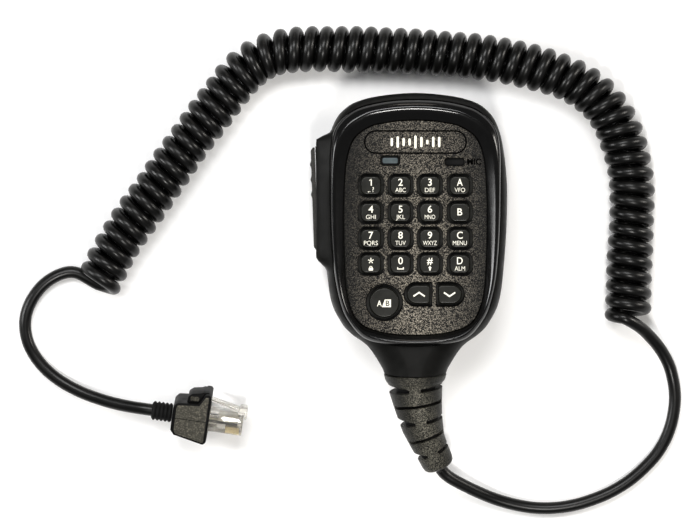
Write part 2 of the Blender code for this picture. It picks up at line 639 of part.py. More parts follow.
def make_key(name, at, flange, skirt, top):
    """A key: a flange under the panel, a skirt up its well, and a cap with sloping sides."""
    shoulder = [(mix(a[0], b[0], 0.75), mix(a[1], b[1], 0.75)) for a, b in zip(skirt, top)]
    rings = [
        at_height(flange, FLANGE_Z[0]), at_height(flange, FLANGE_Z[1]), at_height(skirt, FLANGE_Z[1]),
        at_height(skirt, KEY_SHOULDER_Z - 0.5), at_height(shoulder, KEY_TOP_Z - 0.25),
        at_height(top, KEY_TOP_Z),
    ]
    loft(name, rings, origin=(*at, PANEL_Z))
    return finish(name, (0.035, 0.036, 0.032), 0.38)


def make_keys():
    """Sixteen rectangular keys, the round mode key and the two ends of the rocker."""
    for names, y in zip(KEYS, ROWS):
        for name, x in zip(names, COLUMNS):
            at = (x, y)
            flange = rounded(at, KEY_FLANGE, KEY_CORNER)
            make_key(name, at, flange, rounded(at, KEY_BASE, KEY_CORNER), rounded(at, KEY_TOP, 1.9))
    skirt = circle(MODE_KEY, MODE_SKIRT_R, 24)
    make_key("key_ab", MODE_KEY, circle(MODE_KEY, 7.0, 24), skirt, circle(MODE_KEY, MODE_CAP_R, 24))
    for name, side in (("key_up", -1), ("key_down", 1)):
        centre = (PILL[0] + side * 6.0, PILL[1])
        skirt = half_pill(side, -GAP, PILL_RIB + GAP)
        make_key(name, centre, skirt, skirt, half_pill(side, -1.6, PILL_RIB + 1.0))


def make_lamp():
    """The lamp's lens in its window, and the lamp itself on the board."""
    flange = rounded(LED_AT, LENS_FLANGE, 1.2)
    top = rounded(LED_AT, LENS_TOP, 1.0)
    rings = [
        at_height(flange, LENS_Z[0]), at_height(flange, LENS_Z[1]), at_height(top, LENS_Z[1]),
        at_height(top, LENS_Z[2]),
    ]
    loft("led_lens", rings)
    finish("led_lens", (0.16, 0.2, 0.21), 0.15)
    turned("led", LED_PROFILE, LED_AT, 16)
    finish("led", (0.8, 0.75, 0.6), 0.2)


def key_centres():
    """Where every key presses its switch."""
    centres = [(x, y) for y in ROWS for x in COLUMNS]
    centres.append(MODE_KEY)
    centres.extend((PILL[0] + side * 6.0, PILL[1]) for side in (-1, 1))
    return centres


def make_electronics():
    """Rubber mat, dome sheet, circuit board, sound capsule in its holder, and connector."""
    left = [(-x, y) for x, y in reversed(MAT_OUTLINE[:-1])]
    sheet = [*MAT_OUTLINE, *left]
    mat = prisms("keypad_mat", [(sheet, *MAT_Z)])
    lumps = [(rounded(at, MAT_LUMP, 1.0, 2), *MAT_LUMP_Z) for at in key_centres()]
    combine(mat, "UNION", prisms("mat_lumps", lumps))
    finish("keypad_mat", (0.25, 0.25, 0.26), 0.7)
    film = inset(sheet, 0.6)
    domes = prisms("dome_sheet", [(film, *FILM_Z)])
    bumps = [(circle(at, DOME_R, 6), *DOME_Z) for at in key_centres()]
    combine(domes, "UNION", prisms("dome_bumps", bumps))
    finish("dome_sheet", (0.5, 0.5, 0.5), 0.35, 0.8)
    low_left = [(-x, y) for x, y in reversed(MAT_OUTLINE[1:-1])]
    board_edge = [*BOARD_HEAD, *MAT_OUTLINE[1:], *low_left, *BOARD_TAB]
    board = prisms("main_board", [(board_edge, *BOARD_Z)])
    hole = [(circle(MIC_AT, BOARD_HOLE_R, 20), BOARD_Z[0] - EPS, BOARD_Z[1] + EPS)]
    combine(board, "DIFFERENCE", prisms("board_hole", hole))
    finish("main_board", (0.02, 0.16, 0.06), 0.4)
    cup = turned("mic_holder", [(HOLDER_R, z) for z in HOLDER_Z], MIC_AT, 20)
    bore = [(circle(MIC_AT, HOLDER_BORE_R, 20), HOLDER_FLOOR_Z, HOLDER_Z[1] + EPS)]
    combine(cup, "DIFFERENCE", prisms("holder_bore", bore))
    finish("mic_holder", (0.03, 0.03, 0.03), 0.8)
    turned("mic_capsule", CAPSULE_PROFILE, MIC_AT, 20)
    finish("mic_capsule", (0.7, 0.7, 0.7), 0.3, 1.0)
    prisms("board_connector", [block(*CONNECTOR_BOX)])
    finish("board_connector", (0.8, 0.78, 0.7), 0.5)
    switch = prisms("ptt_switch", [block(*SWITCH_BOX)])
    combine(switch, "UNION", prisms("switch_nub", [block(*SWITCH_NUB)]))
    finish("ptt_switch", (0.05, 0.05, 0.05), 0.4)


# ---- push-to-talk bar ---------------------------------------------------------------------
def make_ptt():
    """The bar turns on a pin at its low end; its flanges stop it inside the case's slot."""
    pivot = (*PTT_PIVOT, PARTING_Z)
    bar = prisms("ptt_button", [(PTT_SIDE, *PTT_Z)], origin=pivot)
    flanges = [block(*PTT_FLANGE, PTT_Z[0] - PTT_FLANGE_REACH, PTT_Z[1] + PTT_FLANGE_REACH)]
    combine(bar, "UNION", prisms("bar_flanges", flanges, origin=pivot))
    bore = [(circle(PTT_PIVOT, PTT_PIN_R + 0.1, 16), 10.0, 30.0)]
    combine(bar, "DIFFERENCE", prisms("bar_bore", bore, origin=pivot))
    finish("ptt_button", (0.02, 0.02, 0.02), 0.5)
    turned("ptt_pin", [(PTT_PIN_R, 11.0), (PTT_PIN_R, 29.1)], PTT_PIVOT, 16)
    finish("ptt_pin", (0.6, 0.6, 0.6), 0.25, 1.0)
    rings = []
    for y, rise in PAD_STATIONS:
        back = mix(*PAD_BACK_X, (y - PTT_Y[0]) / (PTT_Y[1] - PTT_Y[0]))
        face = back - PAD_EDGE - 0.75 * rise
        narrow = 0.0 if rise else PAD_EDGE
        low = PTT_Z[0] + GAP + narrow
        high = PTT_Z[1] - GAP - narrow
        section = [(back, low), (face + PAD_EDGE, low), (face, low + PAD_SHOULDER)]
        section.extend([(face, high - PAD_SHOULDER), (face + PAD_EDGE, high), (back, high)])
        rings.append([(x, y, z) for x, z in section])
    loft("ptt_pad", rings, origin=pivot)
    finish("ptt_pad", (0.05, 0.048, 0.044), 0.75)


# ---- fasteners and hang-up button -----------------------------------------------------------
def make_fasteners():
    """Case screws, hang-up button with its plate and screw, and the cord's clamp."""
    for i, at in enumerate(CASE_SCREWS, 1):
        name = f"case_screw_{i}"
        profile = [(SCREW_HEAD_R, z) for z in SCREW_HEAD_Z]
        profile.extend([(SCREW_R, SCREW_HEAD_Z[1]), (SCREW_R, SCREW_TIP_Z)])
        screw = turned(name, profile, at, 16)
        half_long, half_wide, floor = SCREW_SLOT
        span = (at[0] - half_long, at[0] + half_long, at[1] - half_wide, at[1] + half_wide)
        drive = [block(*span, SCREW_HEAD_Z[0] - EPS, floor)]
        combine(screw, "DIFFERENCE", prisms(name + "_drive", drive))
        finish(name, (0.35, 0.35, 0.36), 0.3, 1.0)
    button = turned("hang_button", BUTTON_PROFILE, (0.0, 0.0), 24)
    bore = [(circle((0.0, 0.0), BUTTON_BORE_R, 16), 2.2, 7.0)]
    combine(button, "DIFFERENCE", prisms("button_bore", bore))
    finish("hang_button", (0.55, 0.55, 0.56), 0.28, 1.0)
    square = rounded((0.0, 0.0), BUTTON_PLATE, BUTTON_PLATE_CORNER)
    plate = prisms("hang_button_plate", [(square, *BUTTON_PLATE_Z)])
    bore = [(circle((0.0, 0.0), BUTTON_BORE_R, 16), BUTTON_PLATE_Z[0] - EPS, BUTTON_PLATE_Z[1] + EPS)]
    combine(plate, "DIFFERENCE", prisms("plate_bore", bore))
    finish("hang_button_plate", (0.5, 0.5, 0.5), 0.35, 1.0)
    turned("hang_button_screw", BUTTON_SCREW, (0.0, 0.0), 20)
    finish("hang_button_screw", (0.45, 0.45, 0.46), 0.3, 1.0)
    middle = Matrix.Translation((0.0, CLAMP_SCREW[1] + CLAMP_WIDTH / 2.0, 0.0))
    place = middle @ Matrix.Rotation(math.pi / 2.0, 4, "X")
    clamp = prisms("cable_clamp", [(CLAMP_ARCH, 0.0, CLAMP_WIDTH)], place=place)
    hole = [(circle(CLAMP_SCREW, CLAMP_HOLE_R, 8), 10.0, 16.0)]
    combine(clamp, "DIFFERENCE", prisms("clamp_bore", hole))
    finish("cable_clamp", (0.04, 0.04, 0.04), 0.6)
    turned("clamp_screw", CLAMP_SCREW_PROFILE, CLAMP_SCREW, 16)
    finish("clamp_screw", (0.45, 0.45, 0.46), 0.3, 1.0)


# ---- cord ---------------------------------------------------------------------------------
def axis_frame(axis, reach):
    """Place, right, up and forward directions at a distance along a smooth polyline."""
    left = reach
    for a, b in zip(axis, axis[1:]):
        step = (b - a).length
        if left <= step:
            break
        left -= step
    forward = (b - a).normalized()
    up = (Vector((0.0, 0.0, 1.0)) - forward * forward.z).normalized()
    return a + forward * left, up.cross(forward), up, forward


def make_strain_relief():
    """Rubber boot: a flange held inside the neck, then a slotted taper that bends to the cord."""
    axis = resample(curve_points(BOOT_AXIS, False), 60)
    inwards = Vector((0.0, math.cos(NECK_TILT), math.sin(NECK_TILT)))
    across = Vector((-1.0, 0.0, 0.0))
    inside = WALL + 2 * GAP
    stack = []
    flange = [(BOOT_FLANGE_DEPTH, BOOT_FLANGE_R), (inside, BOOT_FLANGE_R)]
    for reach, radius in [*flange, (inside, BOOT_NECK_R), (-GAP, BOOT_NECK_R)]:
        stack.append((Vector(NECK_END) + inwards * reach, across, inwards.cross(across), radius, radius))
    for reach, wide, high in BOOT_SECTIONS:
        at, right, up, _ = axis_frame(axis, reach)
        stack.append((at, right, up, wide, high))
    rings = []
    for at, right, up, wide, high in stack:
        if right.x > 0.0:
            right = -right
        up = up if up.z > 0.0 else -up
        ring = []
        for i in range(BOOT_SIDES):
            angle = math.tau * i / BOOT_SIDES
            ring.append(at + right * (wide * math.cos(angle)) + up * (high * math.sin(angle)))
        rings.append(ring)
    boot = loft("strain_relief", rings)
    far = 16.0
    slots = bmesh.new()
    cuts = [(s, w, (BOOT_CORE, far, -far, far)) for s, w in BOOT_SIDE_SLOTS]
    cuts.extend((s, w, (-far, -BOOT_CORE, -far, far)) for s, w in BOOT_SIDE_SLOTS)
    cuts.extend((s, w, (-far, far, BOOT_CORE, far)) for s, w in BOOT_FACE_SLOTS)
    cuts.extend((s, w, (-far, far, -far, -BOOT_CORE)) for s, w in BOOT_FACE_SLOTS)
    for reach, width, (x0, x1, y0, y1) in cuts:
        at, right, up, forward = axis_frame(axis, reach)
        corners = [(x0, y1), (x1, y1), (x1, y0), (x0, y0)]
        ends = []
        for shift in (-width / 2.0, width / 2.0):
            ends.append([at + right * x + up * y + forward * shift for x, y in corners])
        add_loft(slots, ends)
    combine(boot, "DIFFERENCE", new_object("boot_slots", slots))
    finish("strain_relief", (0.05, 0.048, 0.044), 0.7)


def make_cord():
    """The cord inside the case, its two straight leads, and the coil as one fat tube."""
    tube("cable_tail", CABLE_INSIDE, CABLE_R, 4.0, 2)
    tube("cord_lead_mic", LEAD_MIC, CORD_R, 10.5, 3)
    tube("cord_coil", [(x, y, COIL_R) for x, y in COIL_ROUTE], COIL_R, 13.0, 4)
    tube("cord_lead_plug", LEAD_PLUG, CORD_R, 10.5, 3)
    for name in ("cable_tail", "cord_lead_mic", "cord_coil", "cord_lead_plug"):
        finish(name, (0.01, 0.01, 0.01), 0.25)


# ---- plug ---------------------------------------------------------------------------------
def plug_place():
    """Plug axes: x towards the nose, y to the latch's side, z to the side that faces up."""
    heading = Matrix.Rotation(PLUG_HEADING, 4, "Z")
    roll = Matrix.Rotation(PLUG_ROLL, 4, "X")
    return Matrix.Translation(PLUG_AT) @ heading @ roll


def side_prism(name, shapes, origin=(0.0, 0.0, 0.0)):
    """Prisms across the plug from (side outline, half width) pairs."""
    place = plug_place()
    solids = [(ring, -half, half) for ring, half in shapes]
    return prisms(name, solids, origin=tuple(place @ Vector(origin)), place=place)


def make_plug():
    """Ribbed tail, wedge boot with its latch guard, clear plug, contacts and latch."""
    place = plug_place()
    ribs = [(3.0, TAIL_START)]
    for i in range(5):
        along = TAIL_START + TAIL_PITCH * i
        ribs.extend([(TAIL_RIB_R, along + 0.6), (TAIL_GROOVE_R, along + 1.6)])
    ribs.extend([(TAIL_RIB_R, TAIL_END - 0.2), (TAIL_RIB_R, TAIL_END)])
    lie = place @ Matrix.Rotation(math.pi / 2.0, 4, "Y")
    turned("plug_strain_relief", ribs, (0.0, 0.0), 12, place=lie)
    finish("plug_strain_relief", (0.012, 0.012, 0.012), 0.45)

    boot = side_prism("plug_boot", [(PLUG_BOOT_SIDE, PLUG_BOOT_HALF)])
    combine(boot, "UNION", side_prism("latch_hood", [(HOOD_SIDE, HOOD_HALF)]))
    socket = block(PLUG_BACK - GAP, EPS, PLUG_FLOOR - GAP, PLUG_ROOF + GAP, 0.0, 0.0)[0]
    lever_way = block(-7.4, EPS, PLUG_ROOF, 9.9, 0.0, 0.0)[0]
    window = block(*HOOD_WINDOW, 0.0, 0.0)[0]
    combine(boot, "DIFFERENCE", side_prism("plug_socket", [(socket, PLUG_HALF_WIDTH + GAP)]))
    combine(boot, "DIFFERENCE", side_prism("lever_way", [(lever_way, LEVER_WAY_HALF)]))
    combine(boot, "DIFFERENCE", side_prism("hood_window", [(window, HOOD_HALF + EPS)]))
    finish("plug_boot", (0.13, 0.12, 0.1), 0.7)

    body = block(PLUG_BACK, PLUG_NOSE, PLUG_FLOOR, PLUG_ROOF, 0.0, 0.0)[0]
    plug = side_prism("plug_body", [(body, PLUG_HALF_WIDTH)])
    pocket = block(*CONTACT_POCKET, 0.0, 0.0)[0]
    combine(plug, "DIFFERENCE", side_prism("contact_pocket", [(pocket, CONTACT_POCKET_HALF)]))
    finish("plug_body", (0.8, 0.8, 0.76), 0.08, alpha=0.4)

    blade = block(*CONTACT_BLADE, 0.0, 0.0)[0]
    blades = []
    for i in range(8):
        across = CONTACT_PITCH * (i - 3.5)
        blades.append((blade, across - CONTACT_BLADE_HALF, across + CONTACT_BLADE_HALF))
    bar = block(*CONTACT_BAR, 0.0, 0.0)[0]
    comb = prisms("plug_contacts", [(bar, -CONTACT_BAR_HALF, CONTACT_BAR_HALF)], place=place)
    combine(comb, "UNION", prisms("contact_blades", blades, place=place))
    finish("plug_contacts", (0.8, 0.58, 0.2), 0.25, 1.0)

    hinge = (*LATCH_HINGE, 0.0)
    latch = side_prism("plug_latch", [(LATCH_HEAD, LATCH_HALF[0])], origin=hinge)
    combine(latch, "UNION", side_prism("latch_lever", [(LATCH_LEVER, LATCH_HALF[1])]))
    finish("plug_latch", (0.8, 0.8, 0.76), 0.08, alpha=0.4)


clear_scene()
make_front_shell()
make_rear_shell()
make_trim_ring()
make_face_panel()
make_keys()
make_lamp()
make_electronics()
make_ptt()
make_fasteners()
make_strain_relief()
make_cord()
make_plug()
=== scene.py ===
"""Looks of the hand microphone: fine shells, keys with legends, the curly cord and the clear plug.

Dimensions are millimetres and turn into metres when a mesh is made. Places of keys, lamp, screws
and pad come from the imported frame; outlines and the cord's route repeat the CAD's own.
"""
import json
import math

import bmesh
import bpy
from mathutils import Matrix, Vector


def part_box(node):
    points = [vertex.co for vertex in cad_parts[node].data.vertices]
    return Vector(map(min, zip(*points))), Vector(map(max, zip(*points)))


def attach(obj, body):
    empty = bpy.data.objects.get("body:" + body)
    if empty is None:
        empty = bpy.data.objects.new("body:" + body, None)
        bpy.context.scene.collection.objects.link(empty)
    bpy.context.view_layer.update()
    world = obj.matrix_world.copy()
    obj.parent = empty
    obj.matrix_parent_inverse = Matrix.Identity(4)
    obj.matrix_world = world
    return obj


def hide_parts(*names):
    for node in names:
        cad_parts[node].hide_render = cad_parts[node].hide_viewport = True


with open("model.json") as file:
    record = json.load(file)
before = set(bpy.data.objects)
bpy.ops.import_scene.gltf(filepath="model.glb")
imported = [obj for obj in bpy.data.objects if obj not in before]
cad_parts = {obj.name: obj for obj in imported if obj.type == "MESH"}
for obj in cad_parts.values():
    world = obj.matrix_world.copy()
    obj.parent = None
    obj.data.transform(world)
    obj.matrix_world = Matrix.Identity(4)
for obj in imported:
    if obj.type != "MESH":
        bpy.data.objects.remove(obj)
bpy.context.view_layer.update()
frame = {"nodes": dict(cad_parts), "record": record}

MM = 0.001
GAP = 0.3
PAST = 1  # how far a cutter reaches past what it cuts
ORIGIN = (0, 0)
ROUND_SIDES = 72
SHARP_EDGE = 40
CREASE = 35

# ---- view ----
VIEW_CENTRE = (-25.4, -31.2)
VIEW_WIDTH = 273
SUBJECT_Z = 20
CAMERA_Z = 2520
SENSOR = 36
FAR_CLIP_M = 10
FLOOR_HALF = 1500
FLOOR_Z = (-12, -0.1)
ROOM_LIGHT = 0.22
WHITE = (1, 1, 1)
LAMPS = [  # name, place, size, watts, point it faces, colour
    ("overhead", (-150, 560, 1250), (700, 420), 9.5, (0, -30, 0), WHITE),
    ("key_light", (40, -560, 1300), (240, 180), 8, (0, -30, 0), (1, 0.98, 0.95)),
    ("left_box", (-900, 150, 520), (260, 460), 5, (-20, 0, 0), WHITE),
    ("right_box", (900, 260, 420), (240, 460), 4.5, (0, 0, 0), (1, 0.96, 0.9)),
    ("back_box", (0, 1000, 330), (180, 120), 0.35, (0, -40, 0), (1, 0.9, 0.8)),
]

# ---- finishes ----
FINISHES = {  # colour, roughness, bumps as (kind, size, depth), and what else differs
    "case": ((0.006, 0.006, 0.0055), 0.5, [("noise", 0.35, 0.012)], {"shine": 0.15}),
    "trim": ((0.004, 0.004, 0.004), 0.15, [("noise", 2, 0.003)], {"shine": 0.4}),
    "panel": (
        (0.005, 0.005, 0.005), 0.4, [("cells", 0.42, 0.18), ("noise", 0.25, 0.08)],
        {
            # bright flecks of grain, partly painted glints, under a painted sheen: brightest at the lower
            # middle of the face, thinning out towards its sides and top
            "speckle": (0.28, 0.55, (0.37, 0.335, 0.275)), "painted_sheen": ((1, -45), (28, 128), 0),
            "shine": 0.18,
        },
    ),
    "key_plastic": ((0.017, 0.017, 0.0145), 0.3, [("noise", 0.25, 0.008)], {"shine": 0.28}),
    "lens": ((0.062, 0.08, 0.086), 0.45, [("noise", 0.6, 0.01)], {"mottle": (2, 0.12), "shine": 0.25}),
    "lamp": ((0.8, 0.75, 0.6), 0.2, [("noise", 1, 0.01)], {}),
    "steel": ((0.45, 0.45, 0.46), 0.3, [("noise", 0.3, 0.01)], {"metal": 1}),
    "button_metal": ((0.5, 0.5, 0.51), 0.26, [("noise", 0.3, 0.008)], {"metal": 1}),
    # dark rubber; also the painted shade of the boot's core
    "soft_rubber": ((0.006, 0.006, 0.006), 0.7, [("noise", 0.3, 0.02)], {"shine": 0.2}),
    "silicone": ((0.02, 0.02, 0.021), 0.6, [("noise", 0.4, 0.02)], {}),
    "domes": ((0.5, 0.5, 0.48), 0.35, [("noise", 0.5, 0.01)], {"metal": 0.8}),
    "board": ((0.02, 0.15, 0.06), 0.35, [("noise", 0.6, 0.02)], {}),
    "connector": ((0.75, 0.73, 0.64), 0.45, [("noise", 0.4, 0.01)], {}),
    "switch": ((0.03, 0.03, 0.03), 0.45, [("noise", 0.4, 0.01)], {}),
    "jacket": (
        (0.004, 0.004, 0.0038), 0.33, [("noise", 1.6, 0.01), ("noise", 0.3, 0.002)],
        {"mottle": (6, 0.2), "shine": 0.35},
    ),
    "boot_rubber": (
        (0.011, 0.011, 0.0095), 0.42, [("cells", 0.45, 0.12), ("noise", 0.3, 0.06)],
        {
            # bright flecks of grain, partly painted glints, under a painted sheen: brightest along a band
            # down the boot's middle, thinning out towards its sides
            "speckle": (0.24, 0.62, (0.235, 0.222, 0.18)), "painted_sheen": ((3.3, -92.5), (7, 50), 14),
            "shine": 0.25,
        },
    ),
    "pad_rubber": (
        (0.016, 0.016, 0.014), 0.5, [("cells", 0.5, 0.12), ("noise", 0.3, 0.05)],
        {"speckle": (0.3, 0.5, (0.035, 0.033, 0.028)), "shine": 0.35},
    ),
    "plug_rubber": ((0.003, 0.003, 0.003), 0.5, [("noise", 0.4, 0.015)], {"shine": 0.12}),
    "plug_grain": (
        (0.042, 0.04, 0.031), 0.55, [("cells", 0.7, 0.2), ("noise", 0.3, 0.06)],
        {"speckle": (0.4, 0.4, (0.125, 0.115, 0.09)), "shine": 0.35},
    ),
    "clear": ((0.8, 0.78, 0.73), 0.05, [("noise", 3, 0.01)], {"mottle": (5, 0.05), "clarity": 0.93}),
    "gold": ((0.9, 0.76, 0.46), 0.3, [("noise", 0.3, 0.006)], {"metal": 0.6}),
    # black print, also used as painted shade in the badge's groove
    "print_and_painted_shade": ((0.001, 0.001, 0.001), 0.8, [("noise", 0.3, 0.01)], {"shine": 0.04}),
    "ink": ((0.78, 0.76, 0.66), 0.5, [("noise", 0.2, 0.01)], {"mottle": (1.5, 0.06)}),
    "floor": ((0.93, 0.93, 0.93), 0.8, [("noise", 2, 0.01)], {"mottle": (60, 0.01)}),
}

# ---- case, as in the CAD ----
PARTING_Z = 20
WALL = 2.2
CASE_POINTS = 260
CASE_HALF = [
    (0, 35.9), (14, 34.7), (23, 32.4), (28.3, 28.9), (31.6, 24.2), (33.9, 16.8), (35.5, 5.1),
    (35.9, -6.6), (35.1, -25.4), (33, -44.1), (28.9, -53.4), (24.8, -58.1), (18.5, -62.8),
    (13.7, -69.8), (12, -73.7), (11.5, -80),
]
NECK_TAIL_Y = -86
NECK_TAIL_R = 11.4
NECK_TAIL_STEPS = 4
FRONT_LEVELS = [(20.15, 0), (27, 0.4), (30.8, 1.4), (33, 2.8), (33.6, 4.2)]
REAR_LEVELS = [(19.85, 0), (13, 0.6), (9.2, 2.2), (6.9, 4.8), (6, 8)]
FRONT_CAVITY = [(18, 2.2), (19, 2.2), (25, 2.35), (28.3, 2.9)]
REAR_CAVITY = [(22, 2.2), (21, 2.2), (12.5, 2.9), (9.2, 5), (8.2, 8)]
NECK_ARC = math.radians(80)
NECK_R = 11.8
NECK_BLEND_Y = (-52, -68)
NECK_END = (0, -73, PARTING_Z)
NECK_TILT = math.radians(8.5)
NECK_BORE_R = 6.3
FAIRING_X = -38.6
FAIRING_TOP_Y = (21, 17.4)
FAIRING_LOW_Y = (-33.5, -28)
FAIRING_RISE = (12.5, 8)
PTT_SLOT_X = (-45, -34)
PTT_SLOT_Y = (-26.2, 15.5)
PTT_Z = (13.1, 26.9)
PAD_BUMPS = (7.9, 2, -3.8)
PAD_ROWS = 80
PAD_BACK_AT = [(-25.7, -37.9), (14.9, -39.2)]  # y, x of the bar's face
PAD_END_RUN = 1.3
PAD_OUT = (0.8, 0.75, 0.45)  # at the ends, more at the middle, more on a bump
PAD_BUMP_WIDTH = 0.95
PAD_END_TAPER = 0.5
PAD_ROUND = (0.6, 1.5)
PAD_CORNER_STEPS = 8
PARTING_LIP = 0.18
CUTTER_REACH = 40
NECK_CUT_LENGTH = 60
NECK_BORE_REACH = 8
BORE_SIDES = 48
DECK_TOP_Z = 30.5
DECK_THICK = 4
DECK_OPENING = [(22.9, 4.9), (22.9, -37), (19.8, -39.6), (19.8, -50), (12, -53.6), (0, -54.4)]
SCREW_NODES = [f"case_screw_{i}" for i in range(1, 5)]
SINK_Z = (4, 11)
SINK_SIDES = 40
SCREW_SINK_R = 2.8
BUTTON_SINK_R = 1.9
SCREW_HEAD = [(1.9, 0), (2.3, 0.15), (2.5, 0.45), (2.5, 2.1), (1.3, 2.1)]  # radius, height from its base
SCREW_SHANK_R = 1.3
SCREW_CROSS = [(1.55, 0.36), (0.36, 1.55)]
SCREW_CROSS_DEPTH = 0.9
BUTTON_PROFILE = [
    (6.2, 0), (6.55, 0.1), (6.85, 0.35), (7, 0.75), (7, 1.9), (6.85, 2.3), (6.55, 2.5), (4.7, 2.5),
    (4.45, 2.65), (4.4, 3), (4.4, 5.7),
]
BUTTON_BORE_R = 1.8
BUTTON_BORE_Z = (2.2, 7)
BUTTON_SIDES = 96

# ---- face, as in the CAD ----
RING_POINTS = 240
RING_OUTER = [
    (0, 32.9), (8, 32.6), (15.5, 31.5), (21.8, 29.8), (25.5, 27.8), (29, 24.8), (31.7, 20.4),
    (32.9, 13), (33.1, 2), (32.9, -14), (32.2, -27), (31.1, -37.4), (29.2, -46),
    (26.4, -52.4), (20.4, -59.2), (12.2, -61.8), (0, -62.6),
]
RING_CREST = [
    (0, 30.1), (8, 29.7), (16.8, 28.3), (21.8, 26), (25.5, 23.6), (28, 20.8), (30, 17.1),
    (31.5, 12.1), (32.2, 2), (32, -14), (31.3, -27), (30.1, -37.4), (28.2, -45.4),
    (25.3, -51.5), (19.4, -57.9), (11.6, -60.5), (0, -61.3),
]
PANEL_EDGE = [
    (0, 25.1), (7, 24.8), (12.2, 24), (17, 22.9), (22.2, 19.7), (25.1, 15.7), (27.1, 7.8),
    (27.9, -6), (27.9, -20), (27.5, -33), (26.9, -40.5), (25.4, -47.4), (22.6, -52.9),
    (18.2, -55.9), (10, -58), (0, -58.6),
]
RING_PROFILE = [  # (0 outer line, 1 crest, 2 panel edge; height)
    (0, 33.2), (0.1, 34), (0.35, 34.9), (0.65, 35.6), (0.9, 36), (1.05, 36.1), (1.2, 35.95),
    (1.4, 35.5), (1.62, 34.9), (1.82, 34.2), (1.95, 33.75), (2, 33.5),
]
SEAT_Z = 30.8
PANEL_Z = 33.4
PANEL_CHAMFER = 0.15
WELL_LIP = [(0, -0.3), (-0.08, -0.12), (-0.28, 0), (-0.28, PAST)]  # inset, height over the panel
BADGE_LINE = 0.6
BADGE_DEPTH = 0.28
# a black band of painted shade laid in the badge's groove
BADGE_SHADE_GROW = 0.02
BADGE_SHADE_Z = (-0.05, 0.16)
BAR_COUNT = 9
BAR_PITCH = 2.3
BAR_WIDTH = 0.95
BAR_CORNER = 0.47
BAR_HALF = (0.7, 1.9)
BAR_WAVE = (0.95, 1.35)
BAR_FALL = 0.06
BAR_Z = (-0.05, 0.04)
FELT_SIZE = (7.2, 2.9)
FELT_CORNER = 0.9
FELT_Z = (30.6, 31.4)
SOUND_WORD = ("MIC", 2.4, (22.8, 8.9))
SOUND_WORD_BOLD = 0.02
SOUND_WORD_THICK = 0.08

# ---- keypad ----
KEY_WELL = (10.1, 9.2)
KEY_SKIRT = (7.9, 7.3)
KEY_TOP = (7.2, 6.5)
KEY_FLANGE = (10.6, 9.7)
KEY_CORNER = 2.6
KEY_TOP_CORNER = 1.9
FLANGE_Z = (29.7, 30.5)
KEY_TOP_Z = 34
KEY_SLOPE = [(0, 32.4), (0.15, 32.9), (0.4, 33.3), (0.75, 33.65), (0.92, 33.83), (1, 33.93)]
KEY_EDGE = [(0.12, -0.015), (0.3, 0)]
KEY_SKIRT_CORNER = 2.2
MODE_WELL_R = 7.2
MODE_RADII = (5.9, 5.5, 7)  # skirt, top, flange
PILL = (7.3, -42.6)
PILL_SIZE = (23.7, 9.55)
PILL_RIB = 0.75
PILL_SKIRT = (-1.1, PILL_RIB + 0.8)  # growth, distance to the rib's middle
PILL_TOP = (-1.5, PILL_RIB + 1.2)
PILL_FLANGE = (-GAP, PILL_RIB + GAP)
CHEVRON_AT = 5.9
CHEVRON = [(-2.2, -0.75), (0, 0.75), (2.2, -0.75)]
CHEVRON_WIDTH = 0.6
LED_WINDOW = (7.7, 4)
LED_CORNER = 1.4
LED_FRAME = (7.1, 3.4)
LED_FRAME_CORNER = 1.2
LED_FRAME_Z = (29.2, 32.2)
LENS_SIZE = (6, 2.3)
LENS_CORNER = 0.7
LENS_LEVELS = [(0, 29.1), (0, 32.8), (0.1, 33), (0.3, 33.1)]  # inset, height
MIC_SLOT_AT = (15.2, 8.8)
MIC_SLOT = (7.5, 3.2)
MIC_SLOT_CORNER = 1
BADGE_AT = (0, 16.5)
BADGE_SIZE = (40, 9.2)
DIGIT_HEIGHT = 2.75
WORD_HEIGHT = 1.65
LETTER_PITCH = 0.82
BOLD = 0.012
BOLD_FROM = 2
PRINT = 0.03
MAIN_RISE = {True: 1.25, False: 0.2}  # with and without a mark below
WORD_DROP = -1.75
ICON_DROP = -1.7
MARKS = [("?", WORD_HEIGHT * 1.15, (0.9, -1.6)), (",.", WORD_HEIGHT * 1.15, (-0.7, -1.6))]
MODE_PATCH = [(0.2, 1.25), (2.6, 1.25), (2.6, -1.75), (-0.9, -1.75)]
MODE_A = ("A", 2.3, (-1.9, -0.3))
MODE_B = ("B", 2.1, (1.3, -0.25))
MODE_B_RISE = 0.02
MODE_B_THICK = 0.04
LEGENDS = {
    "key_1": ("1", ",.?"), "key_2": ("2", "ABC"), "key_3": ("3", "DEF"), "key_a": ("A", "VFO"),
    "key_4": ("4", "GHI"), "key_5": ("5", "JKL"), "key_6": ("6", "MNO"), "key_b": ("B", ""),
    "key_7": ("7", "PQRS"), "key_8": ("8", "TUV"), "key_9": ("9", "WXYZ"), "key_c": ("C", "MENU"),
    "key_star": ("*", "lock"), "key_0": ("0", "space"), "key_hash": ("#", "shift"), "key_d": ("D", "ALM"),
}

